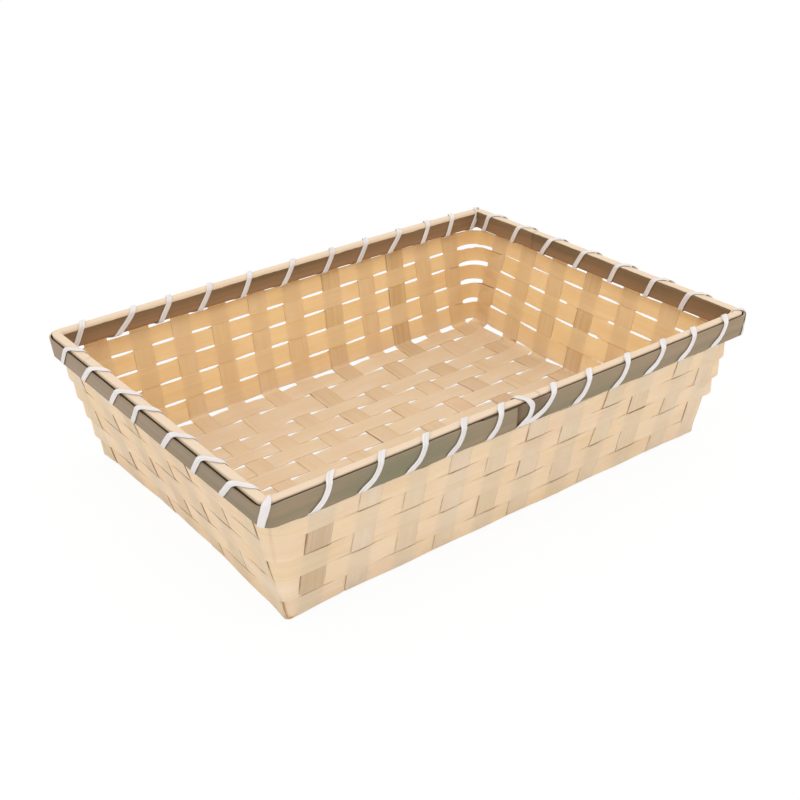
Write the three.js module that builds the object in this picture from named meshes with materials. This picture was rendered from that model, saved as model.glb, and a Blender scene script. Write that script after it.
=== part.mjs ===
// A shallow oblong chip basket: flat bamboo splints woven over and under, a rim of an
// outer band and an inner hoop, and a flat lash wound round the rim.
// Millimetres, +Z up. The origin is on the floor under the middle of the basket, +X runs
// along the long walls. "Along" means counter-clockwise round the basket seen from above.
import * as THREE from "three";

// Overall sizes, measured outside the outer band and outside the walls.
const rimLength = 400;
const rimWidth = 300;
const rimTop = 100;
const rimHeight = 16.3;
const rimLean = 1.1; // how far the rim's lower edge lies inside its upper edge
const footLength = 360; // the walls' outside faces, carried down to the floor
const footWidth = 256;
const rimCornerRadius = 8; // of the stakes' middle surface, seen from above
const footCornerRadius = 3.5;
const footBendRadius = 3; // of the fold from base to wall

// Splints.
const splint = 0.8; // thickness
const clearance = 0.3; // between two pieces that touch
const crossCount = 11; // splints across the base, which climb both long walls
const crossWidth = 15;
const crossEnd = 15; // from the foot's edge to the middle of the end splint
const longCount = 13; // splints along the base; every other one climbs the short walls
const stakeWidth = 17;
const longEnd = 12.8; // from the foot's edge to the middle of the end splint
const baseGap = 0.9; // between neighbours along the base
const fillerSetback = 2.5; // from a filler's end to the stakes' middle surface
const hugMargin = 0.6; // how far a splint stays flat past the edge of the one it crosses
const stakeTopGap = 1; // the stakes' cut tops lie this far below the rim's top

// Wall rounds from the bottom up. They share the wall's height in these proportions.
const roundShares = [15.9, 14.9, 13, 12.6, 12];
const roundSlit = 2; // between one round and the next
const firstRound = 5.7; // height of the lowest round's lower edge
const lastRoundGap = 1.6; // from the highest round to the rim
const roundLap = 26; // how far a round's two ends lie over each other
const lapRamp = 5;
const lapStakes = [1, 4, 33, 30, 7]; // the stake, in order along, that each lap lies inside

// Rim.
const bandThickness = 1.2;
const bandSplice = -12; // where the band's upper end stops, along the front wall
const spliceLength = 26;
const spliceSkive = 0.45; // thickness of each end in the splice
const spliceRamp = 6;
const hoopThickness = 6.4;
const hoopRound = 2.2; // eased edge at the hoop's inner top
const hoopJoints = { front: 3.2, right: 69, left: -87.5 }; // along each wall from its middle
const jointGap = 0.4;

// Lash: a flat strip.
const lashWidth = 5;
const lashThickness = 0.6;
const lashCorner = 0.9; // radius of its middle line at the rim's edges
// Of each loop's advance, how much it makes going up outside and going over the top.
const lashSweep = {
  long: { climb: 0.63, cross: 0.12 },
  short: { climb: 0.485, cross: 0.22 },
  corner: { climb: 0.435, cross: 0.113 },
};
const lashEase = 1.3; // how much more of its advance a loop makes low down
const lashUnder = 6; // a loop's advance under the rim
const lashUnderCorner = 3.2;
const lashSideGap = 0.4; // from the lash to the stake that it passes
const tieGap = 2.8; // from the tie to the loop after it
const tieTurn = { over: 8.2, down: 6, end: -4.8 }; // from the tie's own start
const tieLift = 1.2; // how much further in the tie lies, to cross over the winding

const weave = splint + clearance; // middle to middle where two splints cross
const crossPitch = (footLength - 2 * crossEnd) / (crossCount - 1);
const longPitch = (footWidth - 2 * longEnd) / (longCount - 1);
const fillerWidth = 2 * (longPitch - baseGap) - stakeWidth;
const rimInset = bandThickness + clearance + splint / 2;
const rimBottom = rimTop - rimHeight;
const footInset = 1.5 * splint + clearance;

// Half sizes and corner radius of the stakes' middle surface at height z.
function wallAt(z) {
  const rim = { a: rimLength / 2 - rimInset, b: rimWidth / 2 - rimInset };
  const foot = { a: footLength / 2 - footInset, b: footWidth / 2 - footInset };
  const r = THREE.MathUtils.lerp(footCornerRadius, rimCornerRadius, z / rimTop);
  if (z >= rimBottom) {
    const inset = (rimLean * (rimTop - z)) / rimHeight;
    return { a: rim.a - inset, b: rim.b - inset, r };
  }
  const rise = z / rimBottom;
  return {
    a: THREE.MathUtils.lerp(foot.a, rim.a - rimLean, rise),
    b: THREE.MathUtils.lerp(foot.b, rim.b - rimLean, rise),
    r,
  };
}

// Walls in order along the basket: front, right, back, left.
const outward = [
  new THREE.Vector3(0, -1, 0),
  new THREE.Vector3(1, 0, 0),
  new THREE.Vector3(0, 1, 0),
  new THREE.Vector3(-1, 0, 0),
];
const isLong = (wall) => wall % 2 === 0;

// How far from a wall's middle its stakes reach. Past that a wall's length changes with
// height.
const longWallReach = ((crossCount - 1) * crossPitch + crossWidth) / 2;
const shortWallReach = ((longCount - 1) * longPitch + stakeWidth) / 2;
const stakeReach = (wall) => (isLong(wall) ? longWallReach : shortWallReach);

// A place on the ring is { wall, u, straight } on a straight wall, u from its middle and
// straight half the wall's length there, or { wall, turn } in the corner after that
// wall, turn in radians.
function ringPoint(place, z, offset) {
  const { a, b, r } = wallAt(z);
  const straight = (isLong(place.wall) ? a : b) - r;
  const out = isLong(place.wall) ? b : a;
  const n = outward[place.wall];
  const d = outward[(place.wall + 1) % 4];
  const point = new THREE.Vector3(0, 0, z);
  if (place.turn === undefined) {
    const keep = stakeReach(place.wall);
    const past = Math.max(Math.abs(place.u) - keep, 0) / (place.straight - keep);
    const u = Math.min(Math.abs(place.u), keep) + past * (straight - keep);
    return point
      .addScaledVector(n, out + offset)
      .addScaledVector(d, Math.sign(place.u) * u);
  }
  return point
    .addScaledVector(n, out - r + (r + offset) * Math.cos(place.turn))
    .addScaledVector(d, straight + (r + offset) * Math.sin(place.turn));
}

function ringNormal(place) {
  const turn = place.turn ?? 0;
  return outward[place.wall]
    .clone()
    .multiplyScalar(Math.cos(turn))
    .addScaledVector(outward[(place.wall + 1) % 4], Math.sin(turn));
}

// The ring at height z as one distance s, 0 at the middle of the front wall.
function ringMeasure(z) {
  const { a, b, r } = wallAt(z);
  const quarter = a + b - 2 * r + (r * Math.PI) / 2;
  const straight = (wall) => (isLong(wall) ? a : b) - r;
  return {
    quarter,
    length: 4 * quarter,
    along: (wall, u) => wall * quarter + u,
    cornerStart: (wall) => wall * quarter + straight(wall),
    cornerEnd: (wall) => (wall + 1) * quarter - straight((wall + 1) % 4),
    place(s) {
      const once = ((s % (4 * quarter)) + 4 * quarter) % (4 * quarter);
      const ends = [0, 1, 2, 3, 4].map((wall) => (wall + 1) * quarter - straight(wall + 1));
      const count = ends.findIndex((end) => once <= end);
      const wall = count % 4;
      const u = once - count * quarter;
      if (u <= straight(wall)) return { wall, u, straight: straight(wall) };
      return { wall, turn: (u - straight(wall)) / r };
    },
  };
}

// The stakes in order along the basket.
const stakes = [];
const crossPlace = (n) => (n - (crossCount + 1) / 2) * crossPitch;
const longPlace = (n) => ((longCount + 1) / 2 - n) * longPitch;
for (let n = 1; n <= crossCount; n++)
  stakes.push({ wall: 0, u: crossPlace(n), half: crossWidth / 2 });
for (let n = longCount; n >= 1; n -= 2)
  stakes.push({ wall: 1, u: longPlace(n), half: stakeWidth / 2 });
for (let n = crossCount; n >= 1; n--)
  stakes.push({ wall: 2, u: -crossPlace(n), half: crossWidth / 2 });
for (let n = 1; n <= longCount; n += 2)
  stakes.push({ wall: 3, u: -longPlace(n), half: stakeWidth / 2 });

// Geometry.
function solid(positions, indices) {
  const geometry = new THREE.BufferGeometry();
  geometry.setAttribute("position", new THREE.Float32BufferAttribute(positions, 3));
  geometry.setIndex(indices);
  geometry.computeVertexNormals();
  return geometry;
}

// Joins equal convex outlines, each counter-clockwise seen from behind the travel.
function loft(outlines) {
  const n = outlines[0].length;
  const indices = [];
  for (let i = 0; i + 1 < outlines.length; i++)
    for (let j = 0; j < n; j++) {
      const k = (j + 1) % n;
      const [p, q] = [i * n, (i + 1) * n];
      indices.push(p + j, q + j, q + k, p + j, q + k, p + k);
    }
  const last = (outlines.length - 1) * n;
  for (let j = 1; j + 1 < n; j++)
    indices.push(0, j, j + 1, last, last + j + 1, last + j);
  return solid(outlines.flat().flatMap((p) => p.toArray()), indices);
}

// A splint seen from its edge: its middle line in a plane, thickened and given its width.
function splintFromEdge(line, width) {
  const half = splint / 2;
  const sides = line.map((p, i) => {
    const before = line[i - 1] ?? p;
    const after = line[i + 1] ?? p;
    const into = (i ? p.clone().sub(before) : after.clone().sub(p)).normalize();
    const out = (i < line.length - 1 ? after.clone().sub(p) : into.clone()).normalize();
    const mid = into.clone().add(out).normalize();
    const normal = new THREE.Vector2(-mid.y, mid.x);
    const reach = half / Math.max(mid.dot(out), 0.5);
    return [normal.clone().multiplyScalar(reach).add(p), normal.multiplyScalar(-reach).add(p)];
  });
  const outline = [...sides.map((s) => s[1]), ...sides.map((s) => s[0]).reverse()];
  return new THREE.ExtrudeGeometry(new THREE.Shape(outline), {
    depth: width,
    bevelEnabled: false,
    steps: 1,
  });
}

// The upper half of a stake's middle line, from the base level up the wall to its top.
function climb(out, level) {
  const foot = out(0);
  const slope = (out(rimBottom) - foot) / rimBottom;
  const corner = new THREE.Vector2(foot + slope * level, level);
  const lean = Math.atan(slope);
  const turn = Math.PI / 2 - lean;
  const tangent = footBendRadius * Math.tan(turn / 2);
  const centre = new THREE.Vector2(corner.x - tangent, level + footBendRadius);
  const line = [];
  const steps = 4;
  for (let i = 0; i <= steps; i++) {
    const angle = -Math.PI / 2 + (turn * i) / steps;
    const spoke = new THREE.Vector2(Math.cos(angle), Math.sin(angle));
    line.push(spoke.multiplyScalar(footBendRadius).add(centre));
  }
  line.push(new THREE.Vector2(out(rimBottom), rimBottom));
  const top = rimTop - stakeTopGap;
  line.push(new THREE.Vector2(out(top), top));
  return line;
}

const mirrored = (line) => line.map((p) => new THREE.Vector2(-p.x, p.y)).reverse();

const crossLevel = splint / 2 + weave;
const dip = (longMark, crossMark) => ((longMark + crossMark) % 2 === 0 ? -1 : 1);

function crossSplint() {
  const half = climb((z) => wallAt(z).b, crossLevel);
  const geometry = splintFromEdge([...mirrored(half), ...half], crossWidth);
  const turned = new THREE.Matrix4().makeBasis(
    new THREE.Vector3(0, 1, 0),
    new THREE.Vector3(0, 0, 1),
    new THREE.Vector3(1, 0, 0),
  );
  return geometry.applyMatrix4(turned).translate(-crossWidth / 2, 0, 0);
}

// The flat stretches of a lengthwise splint, over and under the crosswise ones.
function baseRun(mark) {
  const reach = crossWidth / 2 + hugMargin;
  const line = [];
  for (let n = 1; n <= crossCount; n++) {
    const level = crossLevel + dip(mark, n) * weave;
    line.push(new THREE.Vector2(crossPlace(n) - reach, level));
    line.push(new THREE.Vector2(crossPlace(n) + reach, level));
  }
  return line;
}

function longSplint(mark, width) {
  const run = baseRun(mark);
  const climbs = mark % 2 === 1;
  const end = (level) =>
    climbs
      ? climb((z) => wallAt(z).a, level)
      : [new THREE.Vector2(wallAt(level).a - fillerSetback, level)];
  const line = [...mirrored(end(run[0].y)), ...run, ...end(run.at(-1).y)];
  const geometry = splintFromEdge(line, width);
  return geometry.rotateX(Math.PI / 2).translate(0, width / 2, 0);
}

// The height of a wall round's two edges; rows count from the bottom.
function roundEdges(row) {
  const slits = (roundShares.length - 1) * roundSlit;
  const height = rimBottom - lastRoundGap - firstRound - slits;
  const sum = (shares) => shares.reduce((total, share) => total + share, 0);
  const scale = height / sum(roundShares);
  const low = firstRound + sum(roundShares.slice(0, row)) * scale + row * roundSlit;
  return { low, high: low + roundShares[row] * scale };
}

// Outside (+1) or inside (-1) of a stake.
const roundSide = (row, stake) => ((row + stakes.indexOf(stake)) % 2 === 0 ? 1 : -1);

function wallRound(row) {
  const { low, high } = roundEdges(row);
  const ring = ringMeasure((low + high) / 2);
  const home = stakes[lapStakes[row]];
  const homeAt = ring.along(home.wall, home.u);
  const begin = homeAt - roundLap / 2;
  const finish = homeAt + ring.length + roundLap / 2;

  // Knots of the over and under, for the round and its lapped end.
  const knots = [];
  for (const turn of [-1, 0, 1])
    for (const stake of stakes) {
      const s = ring.along(stake.wall, stake.u) + turn * ring.length;
      const reach = stake.half + hugMargin;
      const side = roundSide(row, stake) * weave;
      knots.push([s - reach, side], [s + reach, side]);
    }
  knots.sort((p, q) => p[0] - q[0]);
  const sway = (s) => {
    const i = knots.findIndex((k) => k[0] > s);
    const [[s0, v0], [s1, v1]] = [knots[i - 1], knots[i]];
    return v0 + ((v1 - v0) * (s - s0)) / (s1 - s0);
  };

  const overlapAt = begin + ring.length;
  const homeSide = roundSide(row, home);
  const lift = (s) => {
    const share = (s - (overlapAt - lapRamp)) / (lapRamp - 1);
    return homeSide * weave * THREE.MathUtils.clamp(share, 0, 1);
  };

  const cuts = new Set([begin, finish, overlapAt - lapRamp, overlapAt - 1]);
  for (const [s] of knots) cuts.add(s);
  const cornerSteps = 3;
  for (let lap = -1; lap <= 1; lap++)
    for (let wall = 0; wall < 4; wall++)
      for (let i = 0; i <= cornerSteps; i++) {
        const [s0, s1] = [ring.cornerStart(wall), ring.cornerEnd(wall)];
        cuts.add(lap * ring.length + s0 + ((s1 - s0) * i) / cornerSteps);
      }
  const marks = [...cuts].filter((s) => s >= begin && s <= finish).sort((p, q) => p - q);
  return loft(
    marks.map((s) => {
      const place = ring.place(s);
      const middle = sway(s) + lift(s);
      const [inner, outer] = [middle - splint / 2, middle + splint / 2];
      return [
        ringPoint(place, low, outer),
        ringPoint(place, high, outer),
        ringPoint(place, high, inner),
        ringPoint(place, low, inner),
      ];
    }),
  );
}

const rimRing = ringMeasure(rimTop);

// Marks along the rim from one place to another, with the corners between them rounded.
function rimMarks(from, to, extra = []) {
  const cuts = new Set([from, to, ...extra]);
  const cornerSteps = 4;
  for (let lap = -1; lap <= 1; lap++)
    for (let wall = 0; wall < 4; wall++)
      for (let i = 0; i <= cornerSteps; i++) {
        const [s0, s1] = [rimRing.cornerStart(wall), rimRing.cornerEnd(wall)];
        cuts.add(lap * rimRing.length + s0 + ((s1 - s0) * i) / cornerSteps);
      }
  return [...cuts].filter((s) => s >= from && s <= to).sort((p, q) => p - q);
}

// One band round the basket, its two ends skived so that they lie over each other.
function outerBand() {
  const inner = splint / 2 + clearance;
  const outer = inner + bandThickness;
  const under = inner + spliceSkive;
  const finish = rimRing.length + bandSplice;
  const begin = bandSplice - spliceLength;
  const thick = bandSplice + clearance;
  const thin = begin + rimRing.length - clearance;
  const extra = [thick, thick + spliceRamp, thin - spliceRamp, thin];
  return loft(
    rimMarks(begin, finish, extra).map((s) => {
      const grow = THREE.MathUtils.clamp((s - thick) / spliceRamp, 0, 1);
      const shrink = THREE.MathUtils.clamp((s - thin) / spliceRamp + 1, 0, 1);
      const outside = THREE.MathUtils.lerp(under, outer, grow);
      const inside = THREE.MathUtils.lerp(inner, outer - spliceSkive, shrink);
      const place = rimRing.place(s);
      return [
        ringPoint(place, rimBottom, outside),
        ringPoint(place, rimTop, outside),
        ringPoint(place, rimTop, inside),
        ringPoint(place, rimBottom, inside),
      ];
    }),
  );
}

const hoopOuter = -(splint / 2 + clearance);
const hoopInner = hoopOuter - hoopThickness;

function hoopLength(from, to) {
  const ease = hoopRound * 0.3;
  const section = [
    [hoopOuter, rimBottom],
    [hoopOuter, rimTop],
    [hoopInner + hoopRound, rimTop],
    [hoopInner + ease, rimTop - ease],
    [hoopInner, rimTop - hoopRound],
    [hoopInner, rimBottom + ease],
    [hoopInner + ease, rimBottom],
  ];
  return loft(
    rimMarks(from + jointGap / 2, to - jointGap / 2).map((s) => {
      const place = rimRing.place(s);
      return section.map(([offset, z]) => ringPoint(place, z, offset));
    }),
  );
}

// The lash. Its middle line goes round a rounded outline of the rim's section.
const lashReach = clearance + lashThickness / 2;
const lashBox = {
  out: splint / 2 + clearance + bandThickness + lashReach,
  in: hoopInner - lashReach,
  low: rimBottom - lashReach,
  high: rimTop + lashReach,
};

// A stop on the lash: s along the rim, its distance and height, and which way it faces.
function stop(s, offset, z, facing) {
  return { s, offset, z, facing };
}

function edgeStops(s, outSign, upSign, from, box) {
  const offset = (outSign > 0 ? box.out : box.in) - outSign * lashCorner;
  const z = (upSign > 0 ? box.high : box.low) - upSign * lashCorner;
  return [0, 1, 2].map((i) => {
    const angle = from + (i * Math.PI) / 4;
    const [out, up] = [Math.cos(angle), Math.sin(angle)];
    return stop(s + (i - 1) * 0.2, offset + lashCorner * out, z + lashCorner * up, angle);
  });
}

// One turn: up the outside, over the top, down the inside and in under the rim.
function lashTurn({ start, over, down, end, steps = 3 }, box = lashBox) {
  const [low, high] = [box.low + lashCorner, box.high - lashCorner];
  const up = [];
  for (let i = 1; i < steps; i++) {
    const climbed = 1 - (1 - i / steps) ** (1 / lashEase);
    const s = THREE.MathUtils.lerp(start, over, i / steps);
    up.push(stop(s, box.out, THREE.MathUtils.lerp(low, high, climbed), 0));
  }
  return [
    ...edgeStops(start, 1, -1, -Math.PI / 2, box),
    ...up,
    ...edgeStops(over, 1, 1, 0, box),
    ...edgeStops(down, -1, 1, Math.PI / 2, box),
    stop((down + end) / 2, box.in, (low + high) / 2, Math.PI),
    ...edgeStops(end, -1, -1, Math.PI, box),
  ];
}

// The strip along its stops. Its outlines are cut parallel to the rim, so on a slant they
// are longer than the strip is wide.
function lashOutlines(stops) {
  const points = stops.map((p) => ringPoint(rimRing.place(p.s), p.z, p.offset));
  return stops.map((p, i) => {
    const before = points[Math.max(i - 1, 0)];
    const after = points[Math.min(i + 1, points.length - 1)];
    const travel = after.clone().sub(before).normalize();
    const normal = ringNormal(rimRing.place(p.s));
    const along = new THREE.Vector3(-normal.y, normal.x, 0);
    const upright = Math.sqrt(Math.max(1 - travel.dot(along) ** 2, 0.36));
    const facing = normal
      .multiplyScalar(Math.cos(p.facing))
      .add(new THREE.Vector3(0, 0, Math.sin(p.facing)));
    const corner = (side, face) =>
      points[i]
        .clone()
        .addScaledVector(along, (side * lashWidth) / 2 / upright)
        .addScaledVector(facing, (face * lashThickness) / 2);
    return [corner(1, -1), corner(1, 1), corner(-1, 1), corner(-1, -1)];
  });
}

// Where the lash comes out from under the rim: before each stake, and in a corner.
const passBefore = (stake) =>
  rimRing.along(stake.wall, stake.u) - stake.half - lashWidth / 2 - lashSideGap;
const cornerPass = (wall) => rimRing.cornerStart(wall) + clearance;

// A winding: its turns in order, with a straight tail under the rim at both ends.
function winding(turns, box = lashBox) {
  const middle = (lashBox.in + lashBox.out) / 2;
  const [first, last] = [turns[0], turns.at(-1)];
  const tail = (s, side) => stop(s, middle + side * clearance, box.low, -Math.PI / 2);
  return [
    tail(first.start - lashUnder / 2, 1),
    ...turns.flatMap((turn) => lashTurn(turn, box)),
    tail(last.end + lashUnder / 2, -1),
  ];
}

function turnsOf(walls) {
  const turns = [];
  for (const { wall, cornerBefore } of walls) {
    const own = stakes.filter((stake) => stake.wall === wall);
    const starts = own.map(passBefore);
    const loop = (start, next, sweep, steps) => {
      const over = start + sweep.climb * (next - start);
      const down = over + sweep.cross * (next - start);
      turns.push({ start, over, down, end: next - lashUnder, steps });
    };
    if (cornerBefore) {
      const corner = cornerPass((wall + 3) % 4) - (wall === 0 ? rimRing.length : 0);
      loop(corner, starts[0], lashSweep.corner, 12);
    }
    const last = cornerPass(wall) - lashUnderCorner + lashUnder;
    const sweep = isLong(wall) ? lashSweep.long : lashSweep.short;
    starts.forEach((start, i) => loop(start, starts[i + 1] ?? last, sweep));
  }
  return turns;
}

// The tie goes round once, just before the loop at the front wall's middle stake.
function tieAround() {
  const front = stakes.filter((stake) => stake.wall === 0);
  const next = passBefore(front[Math.floor(front.length / 2)]);
  const start = next - lashWidth - tieGap;
  const { over, down, end } = tieTurn;
  return { start, over: start + over, down: start + down, end: start + end };
}

// The least distance between stretches of one lash that aren't neighbours along it.
function leastGap(outlines) {
  const across = outlines.map(([p, q, r, t]) => [p, q, r, t, p.clone().lerp(t, 0.5)]);
  const apart = 9;
  let least = Infinity;
  for (let i = 0; i < across.length; i++)
    for (let j = i + apart; j < across.length; j++)
      for (const p of across[i])
        for (const q of across[j]) least = Math.min(least, p.distanceTo(q));
  return least;
}

// Finishes.
const paleSplint = new THREE.MeshStandardMaterial({ color: "#e6cdaa", roughness: 0.7, metalness: 0 });
const tanSplint = new THREE.MeshStandardMaterial({ color: "#d9be94", roughness: 0.7, metalness: 0 });
const bandSkin = new THREE.MeshStandardMaterial({ color: "#948a6c", roughness: 0.6, metalness: 0 });
const hoopWood = new THREE.MeshStandardMaterial({ color: "#c9a877", roughness: 0.65, metalness: 0 });
const lashStrip = new THREE.MeshStandardMaterial({ color: "#e4ddd4", roughness: 0.5, metalness: 0 });

const basket = new THREE.Group();
function add(name, geometry, material) {
  const mesh = new THREE.Mesh(geometry, material);
  mesh.name = name;
  basket.add(mesh);
  return mesh;
}
const numbered = (name, n) => `${name}_${String(n).padStart(2, "0")}`;

const crossGeometry = crossSplint();
for (let n = 1; n <= crossCount; n++) {
  const mesh = add(numbered("cross_splint", n), crossGeometry, n % 3 ? paleSplint : tanSplint);
  mesh.position.x = crossPlace(n);
}

const stakeGeometry = longSplint(1, stakeWidth);
const fillerGeometry = longSplint(2, fillerWidth);
for (let n = 1; n <= longCount; n++) {
  const climbs = n % 2 === 1;
  const name = climbs ? "long_splint" : "base_filler";
  const mesh = add(
    numbered(name, Math.ceil(n / 2)),
    climbs ? stakeGeometry : fillerGeometry,
    climbs ? tanSplint : paleSplint,
  );
  mesh.position.y = longPlace(n);
}

for (let row = 0; row < roundShares.length; row++)
  add(numbered("wall_round", row + 1), wallRound(row), paleSplint);

add("rim_outer_band", outerBand(), bandSkin);
const joints = [
  rimRing.along(0, hoopJoints.front),
  rimRing.along(1, hoopJoints.right),
  rimRing.along(3, hoopJoints.left),
  rimRing.along(4, hoopJoints.front),
];
for (let i = 0; i < 3; i++)
  add(numbered("rim_inner_hoop", i + 1), hoopLength(joints[i], joints[i + 1]), hoopWood);

const windings = [
  [{ wall: 3 }, { wall: 0, cornerBefore: true }],
  [{ wall: 1, cornerBefore: true }, { wall: 2, cornerBefore: true }],
];
function addLash(name, stops) {
  const outlines = lashOutlines(stops);
  console.log(`${name}: least gap to itself ${leastGap(outlines).toFixed(2)} mm`);
  add(name, loft(outlines), lashStrip);
}
windings.forEach((walls, i) => addLash(numbered("rim_lashing", i + 1), winding(turnsOf(walls))));
addLash("lash_tie", winding([tieAround()], { ...lashBox, in: lashBox.in - tieLift }));

export default basket;
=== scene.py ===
"""The looks of a chip basket of flat bamboo splints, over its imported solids.

The splints, the band and the hoop are each swept along a path by one Geometry Nodes tree,
and the lash is laid round the rim's cut. All paths are worked out here from the basket's
sizes, in millimetres, and the pieces are made in metres.
"""

import bisect
import math
import random
from collections import namedtuple

import bpy
from mathutils import Matrix, Vector


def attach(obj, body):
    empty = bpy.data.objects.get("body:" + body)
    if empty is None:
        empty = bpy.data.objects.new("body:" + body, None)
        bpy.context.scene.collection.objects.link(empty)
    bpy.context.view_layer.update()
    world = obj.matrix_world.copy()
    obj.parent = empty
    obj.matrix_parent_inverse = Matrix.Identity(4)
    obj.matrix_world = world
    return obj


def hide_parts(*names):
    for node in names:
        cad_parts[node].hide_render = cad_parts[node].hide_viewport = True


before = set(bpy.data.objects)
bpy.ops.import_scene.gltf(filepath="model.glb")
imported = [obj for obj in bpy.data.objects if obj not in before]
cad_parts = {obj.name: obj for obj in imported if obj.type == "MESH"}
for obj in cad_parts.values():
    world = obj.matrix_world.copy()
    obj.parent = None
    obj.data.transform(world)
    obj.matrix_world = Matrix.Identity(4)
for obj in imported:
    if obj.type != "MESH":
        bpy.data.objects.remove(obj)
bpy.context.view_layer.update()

# Sizes, as the solids have them.
RIM_LENGTH = 400
RIM_WIDTH = 300
RIM_TOP = 100
RIM_BOTTOM = 83.7
RIM_LEAN = 1.1
FOOT_LENGTH = 360
FOOT_WIDTH = 256
RIM_CORNER = 8
FOOT_CORNER = 3.5
FOLD_RADIUS = 3
SPLINT = 0.8
CLEARANCE = 0.3
WEAVE = SPLINT + CLEARANCE
ROUNDS = 5
CROSS_COUNT = 11
CROSS_WIDTH = 15
CROSS_PITCH = 33
LONG_COUNT = 13
LONG_PITCH = 19.2
STAKE_WIDTH = 17
BAND = 1.2
HOOP = 6.4
LASH_WIDTH = 5
LASH = 0.6
BASE_LEVEL = SPLINT / 2 + WEAVE

# Where a splint turns up at the foot, by its distance from the base's middle, where its turn
# takes the base's level from, how far it goes on to the rim, and how far apart its cuts are.
CROSS_FOOT = FOOT_WIDTH / 2
LONG_FOOT = FOOT_LENGTH / 2
CROSS_TURN = 123.7
LONG_TURN = 175
CLIMB = 98
STEP = 2.5

# A real splint is thinner than its solid, and its weave is shallower.
SPLINT_DEPTH = 0.4
STAKE_SWAY = 0.15
ROUND_SWAY = 0.28
BASE_DEPTH = 0.6
BASE_SWAY = 0.5
CROSS_SWAY = 0.12

# Each splint's own ways. First, how far it stands from its regular place: at the front rim,
# the front foot, the middle of the base, the back foot and the back rim, and from the left
# to the right for a lengthwise one. Then how brown it is on its first wall, the base and its
# second wall. Last, how dark one edge is painted there, as painted shade of the crevice
# beside it with some brown of the cut edge itself: above 0 on its left or far edge, and
# below 0 on the other one.
CROSS_WAYS = [
    ((6, 2, 0, 0, 0), (1.0, 0.1, 0.3), (0.9, 0.0, 0.0)),
    ((7, 3, 0, 0, 2), (0.0, 0.1, -0.1), (0.4, 0.0, 0.0)),
    ((8, 6, 0, 0, 3), (0.0, 0.2, -0.1), (0.4, 0.0, 0.0)),
    ((8, 5, -1, -1, 2), (-0.1, 0.1, 0.0), (0.35, 0.0, 0.0)),
    ((6, 5, -2, -2, 4), (0.0, 0.2, -0.1), (0.3, 0.0, 0.0)),
    ((5, 2, -2, -3, 3), (-0.1, 0.5, 0.0), (0.8, 0.9, 0.0)),
    ((3, 3, 1, 0, 8), (-0.1, 0.5, 0.5), (0.6, 0.2, 0.5)),
    ((8, -1, 5, 3, 8), (0.1, 0.35, 0.1), (0.5, -0.6, -0.2)),
    ((1, 0, 4, -1, 6), (0.1, 0.7, 0.75), (0.8, 0.2, 0.5)),
    ((7, 1, 0, -2, 1), (0.0, 0.15, 0.0), (0.6, 0.0, 0.0)),
    ((0, 0, 0, -6, -1), (-0.1, 0.4, 0.2), (0.5, 0.5, 0.0)),
]
LONG_WAYS = [
    ((-3.5, -1, 0, 6, -3), (0.2, -0.5, 0.1), (-0.3, 0.0, 0.0)),
    ((-6.5, -3, 0, 4, 1), (0.2, -0.55, 0.0), (-0.5, 0.0, 0.0)),
    ((-9, -9, 0, 4, 3), (0.25, -0.55, 0.25), (-0.5, 0.0, 0.0)),
    ((-8.5, -5, 0, 4, 1), (0.3, -0.5, 0.65), (-0.4, 0.0, 0.5)),
    ((-2.5, -2, 0, 1, -1), (0.3, -0.55, 0.15), (-1.0, 0.0, 0.1)),
    ((-1, -1, 0, 0, -3), (0.2, -0.5, 0.0), (-0.4, 0.0, 0.0)),
    ((-7, -4, 0, 0, 0), (0.2, -0.5, -0.05), (-0.9, 0.0, 0.0)),
]

# Where the lengthwise splints meet on the base, from the back one, at five places along it.
LONG_SEAM_PLACES = [-100, 0, 100, 160, 178]
LONG_SEAMS = [
    (124.2, 124.2, 124.2, 124.2, 126),
    (103.8, 105.3, 107.5, 109, 112.5),
    (80, 81.2, 83.4, 86.2, 88),
    (62, 64.5, 65.3, 68.5, 71.5),
    (45.5, 46.2, 47, 49.5, 51),
    (27, 28.5, 28.3, 29.6, 33),
    (7.5, 7.9, 8.2, 10.5, 12.7),
    (-9.8, -9.8, -9.6, -9.2, -4.9),
]
LONG_SEAMS += [(LONG_PITCH * (6.5 - seam),) * 5 for seam in range(8, 13)]
LONG_SEAMS += [(-124.2,) * 5]

# The wedges that stand open on the base where the lengthwise splints narrow beside each
# crosswise one, and the stretch of the base that has them.
WEDGE = 1.9
WEDGE_LENGTH = 14
WEDGES_FROM = -172
WEDGES_TO = 160

# How much wider some crosswise splints are than their solids. The others are 0.6 wider.
CROSS_EXTRAS = {1: 3.1, 6: 2.1, 7: 2.1, 9: 2.1}

# How far each of the splints that only fill the base reaches under the right wall.
FILLER_REACHES = [-2, 1, -1.2, -2, -2, -2]

# Heights of the seams between the rounds, from the lowest round's lower edge to the highest
# one's upper edge, at the left, middle and right of the front, the middle of the right wall,
# the right, middle and left of the back, and the back, middle and front of the left wall.
SEAMS = [
    (1.8, 2.4, 3.6, 3, 7.9, 5.7, 4.2, 2, 3, 1.2),
    (16.4, 16.6, 19.4, 19.5, 24.3, 21.8, 20.5, 18.2, 17.5, 16.4),
    (34, 35, 37.2, 36.8, 40.3, 38.7, 37.5, 34.2, 33.5, 33.2),
    (50.3, 51.2, 51.8, 52, 55.6, 54, 53, 51, 50.5, 50.2),
    (67.3, 66.3, 67, 68, 69.5, 68.5, 68, 67, 66.5, 66.6),
    (81.6, 81.6, 81.6, 80.4, 83.3, 82.8, 80.5, 81.6, 82, 81.8),
]

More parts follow.
